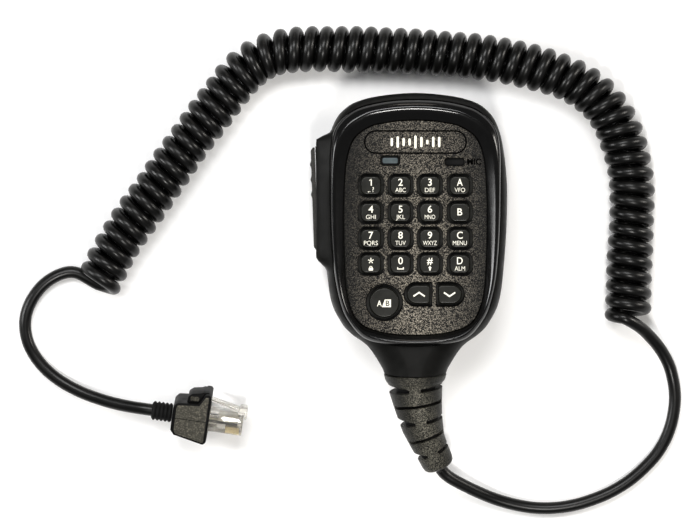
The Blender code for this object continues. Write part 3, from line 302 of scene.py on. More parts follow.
# ---- cord and plug, as in the CAD ----
CORD_R = 2.4
COIL_TURNS = 58
COIL_MEAN_R = (6.65, 6.75)
COIL_WANDERS = [(0.12, 37, 0), (0.08, 91, 1)]  # size, waves, start
COIL_Z = 9.25
LEAD_STEPS = 6
CORD_ROUNDNESS = 6
TURN_POINTS = 28
COIL_START = math.radians(105)
COIL_END = math.radians(272)
LEAD_MIC = [
    (10.2, -111.1, 10.6), (12.1, -113.2, 9.7), (15.6, -115.6, 8.6), (23.4, -119.6, 6),
    (31.2, -122.9, 3.9), (39, -125.2, 2.9), (46.8, -126.5, 2.5), (54.6, -126.6, 2.5),
    (62.4, -125.5, 2.5), (70.2, -123.2, 2.5), (78, -119.8, 2.5), (85.8, -114.7, 2.5),
    (93.5, -107.3, 2.5), (97.8, -101, 2.5), (100.4, -94.8, 2.5), (101.8, -88.5, 2.5),
    (102.2, -82.3, 2.6), (101.4, -76.1, 3), (99.5, -69.8, 4.2), (95.9, -63.6, 6.6),
    (91.2, -58.3, 9.9), (87.2, -55, 13.2),
]
COIL_ROUTE = [
    (83.4, -52), (83.5, -48.6), (84, -31.8), (84.8, -16.2), (85.1, -2), (84.1, 7.1), (81.9, 16),
    (78.4, 25), (72.6, 33.2), (64.8, 39.2), (56, 43.3), (42.9, 47.1), (27.6, 50), (12.1, 51.6),
    (-3.5, 52.6), (-19.1, 53.1), (-34.7, 53.4), (-46, 53.2), (-55.4, 51.6), (-62.4, 48.3),
    (-68.4, 43.2), (-74.8, 35.1), (-84.2, 22.7), (-93.4, 10.1), (-102.2, -2.8), (-111.3, -15.5),
    (-118, -26), (-122.8, -35.9), (-124.2, -38.8),
]
LEAD_PLUG = [
    (-132.6, -34.3, 2.5), (-138.5, -34.6, 2.5), (-144.7, -38, 2.5), (-149.4, -43.3, 2.5),
    (-152.4, -49.9, 2.5), (-152.9, -56.5, 2.5), (-151, -63.6, 2.5), (-146.3, -70.6, 2.6),
    (-139.6, -76.4, 3), (-131.2, -81, 4.2), (-122.9, -84, 5.9), (-116.6, -85.7, 7.4),
    (-110.4, -86.9, 8.8), (-106.2, -87.5, 9.6), (-101.5, -88.2, 9.9),
]
BOOT_AXIS = [
    (0, -73, 20), (0.1, -78, 19.2), (0.8, -83, 18.3), (1.8, -89, 17.1),
    (3.2, -95, 15.7), (5.2, -100.5, 14.2), (7.6, -105.5, 12.6), (9.9, -110.5, 10.8),
]
BOOT_SECTIONS = [
    (0.3, 11.8, 11.4), (0.7, 12.2, 11.8), (2.6, 11.7, 11.4), (3.3, 11.3, 11), (4, 10.7, 10.5),
    (7, 10.4, 10.2), (13, 9.4, 9.3), (18.3, 8.6, 8.5), (22, 8.1, 8), (28, 7, 7),
    (33, 6.5, 6.5), (37, 6.35, 6.3), (38.6, 6, 6), (39.3, 5.4, 5.4), (39.7, 4.2, 4.2),
]
BOOT_SIDE_SLOTS = [(5.9, 1.6, 3), (18.9, 1.5, 4.4), (32.4, 1.5, 6.5)]  # reach, width, outer opening
BOOT_FACE_SLOTS = [(12.1, 1.3, 0), (25.6, 1.4, 0)]
BOOT_SPIGOT = [(-4, 6, 6), (0.25, 6, 6)]
BOOT_STEPS = 120
BOOT_SLOT_REACH = 16
BOOT_CORE = 2.7
BOOT_INNER_CORE = 1.7
# size of the dark core as a share of the boot's section: painted shade seen through the slots
BOOT_SHADE_CORE_SHARE = 0.74
PLUG_AT = (-80.5, -91.2, 9.9)
PLUG_HEADING = math.radians(-8.1)
PLUG_ROLL = math.radians(15)
PLUG_NOSE = 13.3
PLUG_BACK = -8
PLUG_HALF_WIDTH = 5.84
PLUG_FLOOR = -3.6
PLUG_ROOF = 3.4
PLUG_BOOT_HALF = 7.5
PLUG_BOOT_SIDE = [
    (-14.4, -4.8), (-12.9, -6.6), (-1.1, -9.1), (0, -8), (0, 10.3), (-0.6, 11.1), (-2.4, 11.1),
    (-4.6, 7.2), (-13, 6.4), (-14.4, 4.8),
]
CHEEK_UPPER = [
    (-13.1, 0.35), (-1, 0.35), (-1, 10.4), (-2.2, 10.2), (-4.3, 6.5), (-12.7, 5.7), (-13.1, 4.6),
]
CHEEK_LOWER = [(-13.1, -4.6), (-12.3, -6), (-1.2, -8.3), (-1, -7.6), (-1, 0.15), (-13.1, 0.15)]
HOOD_SIDE = [(-9.4, 6), (-9.2, 9), (-7.6, 10.3), (-4.2, 10.9), (-3.4, 11.4), (-0.9, 11.4), (-0.6, 6)]
HOOD_HALF = 5
HOOD_WINDOW_AT = (-6.5, 8.4)
HOOD_WINDOW = (3.4, 2)
HOOD_WINDOW_CORNER = 0.6
LATCH_SLOT = (-7.4, PAST, PLUG_ROOF, 9.9)
LATCH_SLOT_HALF = 2.2
TAIL_END = [(2.5, -22.75), (3, -22.6)]  # radius, place along the tail
TAIL_RIB = [(3.2, 0), (3.6, 0.2), (3.8, 0.45), (3.6, 0.7), (3.2, 0.9)]
TAIL_RIBS = 5
TAIL_FIRST = -22.4
TAIL_PITCH = 1.55
TAIL_ROOT = (3.2, -14.7)
TAIL_SIDES = 40
GRAIN_Z = (PLUG_BOOT_HALF - 0.2, PLUG_BOOT_HALF + 0.12)
WINDOW_PATCH_Z = (3.6, 4.3)
WINDOW_PATCH_GROW = 0.2
PLUG_HOLLOWS = [((PLUG_BACK - PAST, 3.4, -1.9, 1.9), 4.4), ((3, 11.6, -0.5, 0.9), 4.3)]
BLADES_Z = [1.02 * (i - 3.5) for i in range(8)]
POCKET = (6.6, 12.3, PLUG_FLOOR - PAST, -0.9)
POCKET_HALF = 0.32
BLADE = (6.8, 12.1, -3.45, -1.1)
BLADE_HALF = 0.18
WIRES = [  # name, where across the plug, radius, finish
    ("plug_wires", BLADES_Z[:-1], 0.3, "connector"), ("plug_wire_dark", BLADES_Z[-1:], 0.5, "switch"),
]
WIRE_X = (-7, 11.2)
WIRE_Y = 0.2
LATCH_HEAD_HALF = 3
LATCH_LEVER_HALF = 1.6
PLUG_ROUND = 0.5
SHELL_ROUND = 0.35
LATCH_ROUND = 0.25
CHEEK_ROUND = 0.1
LATCH_LEVER = [(-5.5, 7.9), (0, 7.4), (10.4, 4.5), (12.4, 4.3), (12.4, 6), (0, 8.6), (-5.5, 8.9)]
LATCH_HEAD = [
    (10.8, 4.4), (11.6, 3.7), (13.6, 3.7), (13.6, 2.4), (14.5, 2.4), (14.5, 6.3), (13.9, 6.8), (11.6, 6.8),
]


# ---- plain geometry ----
def mix(a, b, t):
    """The number a fraction t of the way from a to b."""
    return a + (b - a) * t


def smoothstep(value, start, end):
    """0 at start, 1 at end, with a soft run between; start may be above end."""
    t = min(1, max(0, (value - start) / (end - start)))
    return t * t * (3 - 2 * t)


def catmull(p0, p1, p2, p3, t):
    """A point of the Catmull-Rom curve between p1 and p2."""
    straight = 2 * p1 + (p2 - p0) * t
    bend = (2 * p0 - 5 * p1 + 4 * p2 - p3) * t * t
    twist = (3 * p1 - p0 - 3 * p2 + p3) * t * t * t
    return (straight + bend + twist) * 0.5


def smooth_path(points, closed=False, steps=16):
    """A fine smooth polyline through the points, with that many steps from each to the next."""
    nodes = [Vector(p) for p in points]
    count = len(nodes)
    fine = []
    for i in range(count if closed else count - 1):
        if closed:
            p0, p1, p2, p3 = (nodes[(i + k) % count] for k in (-1, 0, 1, 2))
        else:
            p1, p2 = nodes[i], nodes[i + 1]
            p0 = nodes[i - 1] if i > 0 else 2 * p1 - p2
            p3 = nodes[i + 2] if i + 2 < count else 2 * p2 - p1
        fine.extend(catmull(p0, p1, p2, p3, step / steps) for step in range(steps))
    fine.append(nodes[0] if closed else nodes[-1])
    return fine


def resample(fine, count):
    """count points at equal distances along a polyline, both ends included."""
    reach = [0]
    for a, b in zip(fine, fine[1:]):
        reach.append(reach[-1] + (b - a).length)
    spread = []
    at = 0
    for i in range(count):
        want = reach[-1] * i / (count - 1)
        while at < len(fine) - 2 and reach[at + 1] < want:
            at += 1
        span = reach[at + 1] - reach[at]
        spread.append(fine[at].lerp(fine[at + 1], (want - reach[at]) / span))
    return spread


def outline(half, count):
    """A closed outline, symmetric about x = 0, from its right half listed top to bottom."""
    left = [(-x, y) for x, y in reversed(half) if x > 0]
    ring = resample(smooth_path([(x, y, 0) for x, y in [*half, *left]], True), count + 1)
    return [(p.x, p.y) for p in ring[:-1]]


def normals(ring):
    """The inward unit normals of a clockwise outline."""
    found = []
    for i in range(len(ring)):
        ahead = ring[(i + 1) % len(ring)]
        behind = ring[i - 1]
        run = Vector((ahead[0] - behind[0], ahead[1] - behind[1])).normalized()
        found.append((run.y, -run.x))
    return found


def inset(ring, distance):
    """The outline moved inwards by a distance; a negative distance grows it."""
    return [(x + nx * distance, y + ny * distance) for (x, y), (nx, ny) in zip(ring, normals(ring))]


def between(a, b, t):
    """The outline a fraction t of the way from one to another."""
    return [(mix(p[0], q[0], t), mix(p[1], q[1], t)) for p, q in zip(a, b)]


def at_height(ring, z):
    """A flat outline as points at one height."""
    return [(p[0], p[1], z) for p in ring]


def circle(centre, radius, count):
    """A round outline, clockwise from its top."""
    turns = [math.tau * i / count for i in range(count)]
    return [(centre[0] + radius * math.sin(a), centre[1] + radius * math.cos(a)) for a in turns]


def rounded(centre, size, corner, steps=12):
    """A rectangle with round corners, clockwise from the left end of its top side."""
    half_x = size[0] / 2 - corner
    half_y = size[1] / 2 - corner
    points = []
    for k, (sx, sy) in enumerate([(-1, 1), (1, 1), (1, -1), (-1, -1)]):
        for i in range(steps):
            angle = math.pi * (k - 1) / 2 + math.pi / 2 * i / (steps - 1)
            x = centre[0] + sx * half_x + corner * math.sin(angle)
            y = centre[1] + sy * half_y + corner * math.cos(angle)
            if not points or math.dist(points[-1], (x, y)) > 1e-4:
                points.append((x, y))
    if math.dist(points[-1], points[0]) < 1e-4:
        points.pop()
    return points


def half_pill(side, grow, rib):
    """One end of the rocker's pill: side is 1 right or -1 left, rib the distance to its middle."""
    radius = PILL_SIZE[1] / 2 + grow
    turn = PILL_SIZE[0] / 2 - PILL_SIZE[1] / 2
    points = []
    for i in range(25):
        angle = math.pi * i / 24
        points.append((turn + radius * math.sin(angle), radius * math.cos(angle)))
    corner = min(1, 0.4 - min(grow, 0) * 0.4)
    for sign in (-1, 1):
        for i in range(6):
            angle = math.pi / 10 * (i if sign < 0 else 5 - i)
            x = rib + corner - corner * math.sin(angle)
            points.append((x, sign * (radius - corner + corner * math.cos(angle))))
    if side < 0:
        points = [(-x, y) for x, y in reversed(points)]
    return [(PILL[0] + x, PILL[1] + y) for x, y in points]


def middle(node):
    """The centre of a CAD node's box, seen from above, in millimetres."""
    low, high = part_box(node)
    return ((low.x + high.x) / 2 / MM, (low.y + high.y) / 2 / MM)


# ---- materials ----
SOCKETS = {
    "shine": ("Specular IOR Level", 0.5), "metal": ("Metallic", 0), "clarity": ("Transmission Weight", 0),
}
MOTTLE = (3, 0.15)
NOISE_DETAIL = 2
# painted sheen: how the bright flecks thin out away from a lit patch's middle
PAINTED_SHEEN_SHARE = (0.1, 1)
PAINTED_SHEEN_FULL = 0.9
PAINTED_SHEEN_DEPTH = 10
WEAR_SIZE = 1.7
WEAR_DETAIL = 4
WEAR_SPREAD = 0.15
LEAST_ROUGHNESS = 0.02


def add_node(tree, kind, inputs, **settings):
    """The outputs of a new shader node, its inputs set to values or linked to other outputs."""
    node = tree.nodes.new("ShaderNode" + kind)
    for name, value in settings.items():
        setattr(node, name, value)
    for name, value in inputs.items():
        if isinstance(value, bpy.types.NodeSocket):
            tree.links.new(value, node.inputs[name])
        else:
            node.inputs[name].default_value = value
    return node.outputs


def noise(tree, coordinates, size_mm, detail=NOISE_DETAIL):
    """Cloudy noise with features of about that size."""
    inputs = {"Scale": 1 / (size_mm * MM), "Detail": detail, "Vector": coordinates}
    return add_node(tree, "TexNoise", inputs)["Fac"]


def cells(tree, coordinates, size_mm):
    """A cell texture's outputs, with cells of about that size."""
    return add_node(tree, "TexVoronoi", {"Scale": 1 / (size_mm * MM), "Vector": coordinates})


def spread_between(tree, source, low, high, start=0.3, end=0.7):
    """A texture's value turned into a number from low to high."""
    ends = {"From Min": start, "From Max": end, "To Min": low, "To Max": high, "Value": source}
    return add_node(tree, "MapRange", ends)["Result"]


def colour_between(tree, source, dark, light):
    """A colour that runs from dark to light with a value from 0 to 1."""
    return add_node(tree, "Mix", {"A": dark, "B": light, "Factor": source}, data_type="RGBA")["Result"]


def painted_sheen_falloff(tree, coordinates, value, centre, radii, turn):
    """Painted sheen: a value that falls away from a centre to an ellipse in plan, turned by some degrees.
    """
    place = {
        "Location": (centre[0] * MM, centre[1] * MM, 0),
        "Rotation": (0, 0, math.radians(turn)),
        "Scale": (radii[0] * MM, radii[1] * MM, PAINTED_SHEEN_DEPTH),
        "Vector": coordinates,
    }
    plan = add_node(tree, "Mapping", place, vector_type="TEXTURE")["Vector"]
    ball = add_node(tree, "TexGradient", {"Vector": plan}, gradient_type="SPHERICAL")["Fac"]
    share = spread_between(tree, ball, *PAINTED_SHEEN_SHARE, 0, PAINTED_SHEEN_FULL)
    return add_node(tree, "Math", {0: share, 1: value}, operation="MULTIPLY")["Value"]


def flecked(tree, coordinates, tint, speckle, painted_sheen):
    """A colour with bright flecks (size, share, colour), which a painted sheen may thin out away from
    (centre, radii, turn).
    """
    size, share_lit, lit = speckle
    shades = add_node(tree, "SeparateColor", {"Color": cells(tree, coordinates, size)["Color"]})
    sparks = spread_between(tree, shades["Red"], 0, 1, 1 - share_lit, 1)
    if painted_sheen:
        sparks = painted_sheen_falloff(tree, coordinates, sparks, *painted_sheen)
    return colour_between(tree, sparks, tint, (*lit, 1))


def bumped(tree, coordinates, grains):
    """A normal with bumps from (kind, size, depth) laid one over another."""
    inputs = {"Strength": 1}
    for kind, size, depth in grains:
        if kind == "noise":
            inputs["Height"] = noise(tree, coordinates, size)
        else:
            inputs["Height"] = cells(tree, coordinates, size)["Distance"]
        inputs["Distance"] = depth * MM
        inputs["Normal"] = add_node(tree, "Bump", inputs)["Normal"]
    return inputs["Normal"]


def surface(name, colour, roughness, grains, extras):
    """A procedural finish: colour mottling (size, share), uneven roughness, bumps, and flecks that a
    painted sheen may thin out.
    """
    size, swing = extras.get("mottle", MOTTLE)
    material = bpy.data.materials.new(name)
    material.use_nodes = True
    tree = material.node_tree
    shader = tree.nodes["Principled BSDF"]
    for key, (socket, usual) in SOCKETS.items():
        shader.inputs[socket].default_value = extras.get(key, usual)
    coordinates = tree.nodes.new("ShaderNodeTexCoord").outputs["Object"]
    share = spread_between(tree, noise(tree, coordinates, size), 0, 1)
    dark = [c * (1 - swing) for c in colour]
    light = [min(1, c * (1 + swing)) for c in colour]
    tint = colour_between(tree, share, (*dark, 1), (*light, 1))
    if "speckle" in extras:
        tint = flecked(tree, coordinates, tint, extras["speckle"], extras.get("painted_sheen"))
    tree.links.new(tint, shader.inputs["Base Color"])
    wear = noise(tree, coordinates, size * WEAR_SIZE, WEAR_DETAIL)
    smooth = max(LEAST_ROUGHNESS, roughness * (1 - WEAR_SPREAD))
    rough = spread_between(tree, wear, smooth, min(1, roughness * (1 + WEAR_SPREAD)))
    tree.links.new(rough, shader.inputs["Roughness"])
    tree.links.new(bumped(tree, coordinates, grains), shader.inputs["Normal"])
    return material


# ---- meshes ----
def add_loft(bm, rings, ring_closed=False, strip=False):
    """Skin a stack of rings with equal counts, with filled ends or closed on itself."""
    rows = [[bm.verts.new(p) for p in ring] for ring in rings]
    count = len(rows[0])
    pairs = list(zip(rows, rows[1:]))
    if ring_closed:
        pairs.append((rows[-1], rows[0]))
    for low, high in pairs:
        for i in range(count):
            j = (i + 1) % count
            bm.faces.new((low[i], low[j], high[j], high[i]))
    if ring_closed:
        return
    bm.faces.new(rows[0])
    last = rows[-1]
    if not strip:
        bm.faces.new(last)
        return
    for i in range(count // 2):
        corners = [last[i], last[i + 1], last[count - i - 1], last[-i]]
        bm.faces.new(list(dict.fromkeys(corners)))


def add_prism(bm, ring, low, high):
    """An upright prism over an outline."""
    add_loft(bm, [at_height(ring, low), at_height(ring, high)])


def box_ring(x0, x1, y0, y1):
    """A rectangle's outline."""
    return [(x0, y1), (x1, y1), (x1, y0), (x0, y0)]


def solid(name, bm, place=None):
    """A bmesh in millimetres as an object in metres, at the origin or at a place of its own."""
    bmesh.ops.recalc_face_normals(bm, faces=bm.faces)
    bm.transform(Matrix.Scale(MM, 4))
    mesh = bpy.data.meshes.new(name)
    bm.to_mesh(mesh)
    bm.free()
    item = bpy.data.objects.new(name, mesh)
    bpy.context.collection.objects.link(item)
    if place is not None:
        item.matrix_world = place
        bpy.context.view_layer.update()
    return item


def lofted(name, rings, strip=False, ring_closed=False, place=None):
    """One lofted solid."""
    bm = bmesh.new()
    add_loft(bm, rings, ring_closed=ring_closed, strip=strip)
    return solid(name, bm, place)


def prisms(name, shapes, place=None):
    """Upright prisms in one mesh; a shape is (outline, low z, high z)."""
    bm = bmesh.new()
    for ring, low, high in shapes:
        add_prism(bm, ring, low, high)
    return solid(name, bm, place)


def turned(name, profile, centre, sides, place=None):
    """A turned piece about the vertical through centre; profile is (radius, z) from its base."""
    return lofted(name, [at_height(circle(centre, r, sides), z) for r, z in profile], place=place)


def baked(item):
    """An object with its modifiers made part of its mesh."""
    graph = bpy.context.evaluated_depsgraph_get()
    graph.update()
    made = bpy.data.meshes.new_from_object(item.evaluated_get(graph))
    item.modifiers.clear()
    item.data = made
    return item


def carve(item, other, operation="DIFFERENCE"):
    """Cut an object with another, or join them, for good, and remove the other."""
    modifier = item.modifiers.new("carve", "BOOLEAN")
    modifier.operation = operation
    modifier.solver = "EXACT"
    modifier.object = other
    baked(item)
    bpy.data.objects.remove(other, do_unlink=True)


def soften(item, width_mm, segments):
    """Round an object's sharp edges."""
    modifier = item.modifiers.new("round", "BEVEL")
    modifier.width = width_mm * MM
    modifier.segments = segments
    modifier.limit_method = "ANGLE"
    modifier.angle_limit = math.radians(SHARP_EDGE)
    return baked(item)


def dress(item, slot, body="root", nodes=(), sharp=CREASE, material=None):
    """Give a piece its finish, its body and the CAD nodes that it stands for."""
    item.data.materials.clear()
    item.data.materials.append(MATERIALS[material or slot])
    if item.type == "MESH":
        item.data.shade_smooth()
        item.data.set_sharp_from_angle(angle=math.radians(sharp))
    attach(item, body)
    if nodes:
        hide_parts(*nodes)
    return item


# ---- stage ----
def add_lamp(name, at, size, power, aim, colour):
    """A soft rectangular light that faces a point."""
    data = bpy.data.lights.new(name, "AREA")
    data.shape = "RECTANGLE"
    data.size = size[0] * MM
    data.size_y = size[1] * MM
    data.energy = power
    data.color = colour
    item = bpy.data.objects.new(name, data)
    item.location = Vector(at) * MM
    item.rotation_euler = (Vector(aim) - Vector(at)).to_track_quat("-Z", "Y").to_euler()
    bpy.context.collection.objects.link(item)


def make_stage():
    """Camera straight above, a pale floor, soft boxes and a dim white room."""
    data = bpy.data.cameras.new("camera")
    data.sensor_width = SENSOR
    data.lens = SENSOR * (CAMERA_Z - SUBJECT_Z) / VIEW_WIDTH
    data.clip_end = FAR_CLIP_M
    camera = bpy.data.objects.new("camera", data)
    camera.location = Vector((*VIEW_CENTRE, CAMERA_Z)) * MM
    bpy.context.collection.objects.link(camera)
    bpy.context.scene.camera = camera

    floor = prisms("floor", [(box_ring(-FLOOR_HALF, FLOOR_HALF, -FLOOR_HALF, FLOOR_HALF), *FLOOR_Z)])
    floor.data.materials.append(MATERIALS["floor"])
    for lamp in LAMPS:
        add_lamp(*lamp)

    world = bpy.data.worlds.new("room")
    world.use_nodes = True
    world.node_tree.nodes["Background"].inputs["Color"].default_value = (*WHITE, 1)
    world.node_tree.nodes["Background"].inputs["Strength"].default_value = ROOM_LIGHT
    bpy.context.scene.world = world
    bpy.context.scene.view_settings.view_transform = "Standard"
    bpy.context.scene.view_settings.look = "Medium High Contrast"


# ---- cord ----
def coil_points():
    """The left-handed helix of the curly cord about its bent axis."""
    count = COIL_TURNS * TURN_POINTS
    axis = resample(smooth_path([(x, y, COIL_Z) for x, y in COIL_ROUTE]), count + 1)
    sweep = math.tau * COIL_TURNS + COIL_END - COIL_START
    points = []
    for i in range(count + 1):
        ahead = axis[min(i + 1, count)] - axis[max(i - 1, 0)]
        right = Vector((ahead.y, -ahead.x, 0)).normalized()
        t = i / count
        angle = COIL_START + sweep * t
        radius = mix(*COIL_MEAN_R, t)
        wander = sum(size * math.sin(waves * t + start) for size, waves, start in COIL_WANDERS)
        offset = right * (math.cos(angle) * (radius + wander))
        points.append(axis[i] + offset + Vector((0, 0, math.sin(angle) * radius)))
    return points


def make_cord():
    """One cord from the boot along the floor, up onto the coil, and on to the plug."""
    coil = coil_points()
    join = TURN_POINTS // 6
    head = smooth_path([*LEAD_MIC, coil[0], coil[join]], steps=LEAD_STEPS)[: -LEAD_STEPS - 1]
    tail = smooth_path([coil[-1 - join], coil[-1], *LEAD_PLUG], steps=LEAD_STEPS)[LEAD_STEPS + 1 :]
    route = [*head, *coil, *tail]
    data = bpy.data.curves.new("cord", "CURVE")
    data.dimensions = "3D"
    data.bevel_depth = CORD_R * MM
    data.bevel_resolution = CORD_ROUNDNESS
    data.use_fill_caps = True
    spline = data.splines.new("POLY")
    spline.points.add(len(route) - 1)
    for slot, p in zip(spline.points, route):
        slot.co = (p.x * MM, p.y * MM, p.z * MM, 1)
    cord = bpy.data.objects.new("cord", data)
    bpy.context.collection.objects.link(cord)
    return dress(cord, "jacket", nodes=("cord_lead_mic", "cord_coil", "cord_lead_plug"))


# ---- case ----
def case_outline():
    """The case's outline at the parting plane, run on past the neck to a round end."""
    tail = []
    for i in range(1, NECK_TAIL_STEPS + 1):
        angle = math.pi / 2 * i / NECK_TAIL_STEPS
        tail.append((NECK_TAIL_R * math.cos(angle), NECK_TAIL_Y - NECK_TAIL_R * math.sin(angle)))
    tail[-1] = (0, NECK_TAIL_Y - NECK_TAIL_R)
    return outline([*CASE_HALF, (NECK_TAIL_R, NECK_TAIL_Y), *tail], CASE_POINTS)


def case_rings(levels, wall, steps):
    """The case's skin, or its cavity with a wall, as rings along the (z, inset) levels."""
    ring = case_outline()
    side = 1 if levels[-1][0] > PARTING_Z else -1
    first = 1 if wall else 0
    spans = len(levels) - 1 - first
    rings = []
    for k, level in enumerate(smooth_path([(z, step, 0) for z, step in levels], steps=steps)):
        angle = NECK_ARC * max(0, k / steps - first) / spans
        neck_inset = wall + (NECK_R - wall) * (1 - math.cos(angle))
        neck_z = PARTING_Z + side * (NECK_R - wall) * math.sin(angle)
        if k <= first * steps:
            neck_z = level.x
        points = []
        for (x, y), (nx, ny) in zip(ring, normals(ring)):
            neck = smoothstep(y, *NECK_BLEND_Y)
            step = mix(level.y, neck_inset, neck)
            z = mix(level.x, neck_z, neck)
            px = x + nx * step
            if x < 0:
                along = smoothstep(y, FAIRING_TOP_Y[0] - wall, FAIRING_TOP_Y[1] - wall)
                along *= smoothstep(y, FAIRING_LOW_Y[0] + wall, FAIRING_LOW_Y[1] + wall)
                px = mix(px, FAIRING_X + wall, along * smoothstep(abs(z - PARTING_Z), *FAIRING_RISE))
            points.append((px, y + ny * step, z))
        rings.append(points)
    if not wall:
        lip = inset([(x, y) for x, y, _ in rings[0]], PARTING_LIP)
        rings[0] = [(x, y, z + side * PARTING_LIP) for x, y, z in rings[0]]
        rings.insert(0, at_height(lip, levels[0][0]))
    return rings


def neck_cutter(shift):
    """Everything past the neck's leaning end face, moved up the neck by a distance."""
    place = Matrix.Translation(Vector(NECK_END) * MM) @ Matrix.Rotation(NECK_TILT, 4, "X")
    ring = box_ring(-CUTTER_REACH, CUTTER_REACH, -NECK_CUT_LENGTH, shift)
    return prisms("cutter", [(ring, -CUTTER_REACH, CUTTER_REACH)], place)


def make_shell(name, levels, cavity_levels):
    """Half of the case, hollow, with the push-to-talk slot and the neck's end cut."""
    shell = lofted(name, case_rings(levels, 0, 4), strip=True)
    cavity = lofted("cavity", case_rings(cavity_levels, WALL, 1), strip=True)
    carve(cavity, neck_cutter(WALL + GAP))
    carve(shell, cavity)
    carve(shell, neck_cutter(0))
    place = Matrix.Translation(Vector(NECK_END) * MM) @ Matrix.Rotation(math.pi / 2 + NECK_TILT, 4, "X")
    bore = circle(ORIGIN, NECK_BORE_R, BORE_SIDES)
    carve(shell, prisms("cutter", [(bore, -NECK_BORE_REACH, NECK_BORE_REACH)], place))
    slot = [(box_ring(*PTT_SLOT_X, *PTT_SLOT_Y), PTT_Z[0] - GAP, PTT_Z[1] + GAP)]
    carve(shell, prisms("cutter", slot))
    return shell


def make_case():
    """Front shell with the face's recess, and rear shell with counterbores and button hole."""
    front = make_shell("shell_front", FRONT_LEVELS, FRONT_CAVITY)
    seat = inset(outline(RING_OUTER, RING_POINTS), -GAP)
    recess = [at_height(seat, z) for z in (DECK_TOP_Z, CUTTER_REACH)]
    carve(front, lofted("cutter", recess, strip=True))
    left = [(-x, y) for x, y in reversed(DECK_OPENING[:-1])]
    openings = [[*DECK_OPENING, *left], rounded(middle("led_lens"), LED_WINDOW, LED_CORNER, 8)]
    openings.append(rounded(MIC_SLOT_AT, MIC_SLOT, MIC_SLOT_CORNER, 8))
    holes = [(ring, DECK_TOP_Z - DECK_THICK, DECK_TOP_Z + PAST) for ring in openings]
    carve(front, prisms("cutter", holes))
    dress(front, "case", nodes=("front_shell",))
    rear = make_shell("shell_rear", REAR_LEVELS, REAR_CAVITY)
    sinks = [(circle(middle(node), SCREW_SINK_R, SINK_SIDES), *SINK_Z) for node in SCREW_NODES]
    sinks.append((circle(ORIGIN, BUTTON_SINK_R, SINK_SIDES), *SINK_Z))
    carve(rear, prisms("cutter", sinks))
    dress(rear, "case", nodes=("rear_shell",))


def make_back_fittings():
    """Case screws with cross recesses, and the turned hang-up button with its bore."""
    for node in SCREW_NODES:
        low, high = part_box(node)
        at = middle(node)
        base, tip = low.z / MM, high.z / MM
        profile = [(radius, base + rise) for radius, rise in SCREW_HEAD]
        screw = turned(node[5:], [*profile, (SCREW_SHANK_R, tip)], at, BORE_SIDES)
        for x, y in SCREW_CROSS:
            ring = box_ring(at[0] - x, at[0] + x, at[1] - y, at[1] + y)
            carve(screw, prisms("cutter", [(ring, base - PAST, base + SCREW_CROSS_DEPTH)]))
        dress(screw, "steel", nodes=(node,))
    button = turned("button", BUTTON_PROFILE, ORIGIN, BUTTON_SIDES)
    bore = circle(ORIGIN, BUTTON_BORE_R, SINK_SIDES)
    carve(button, prisms("cutter", [(bore, *BUTTON_BORE_Z)]))
    dress(button, "button_metal", nodes=("hang_button",))


# ---- face ----
def make_ring():
    """Gloss ring round the face: steep outside, round crest, long slope down to the panel."""
    lines = [outline(half, RING_POINTS) for half in (RING_OUTER, RING_CREST, PANEL_EDGE)]
    rings = [at_height(lines[0], SEAT_Z)]
    for share, z in RING_PROFILE:
        first = 0 if share < 1 else 1
        rings.append(at_height(between(lines[first], lines[first + 1], share - first), z))
    rings.append(at_height(lines[2], SEAT_Z))
    dress(lofted("ring", rings, ring_closed=True), "trim", nodes=("trim_ring",), sharp=60)


def flared(ring):
    """A well's cutter that widens at the panel's top, which leaves a small round lip."""
    lip = [at_height(inset(ring, grow), PANEL_Z + rise) for grow, rise in WELL_LIP]
    return [at_height(ring, SEAT_Z - PAST), *lip]


def band(outer, inner, low, high):
    """The rings of a flat band between two outlines."""
    return [at_height(outer, low), at_height(outer, high), at_height(inner, high), at_height(inner, low)]


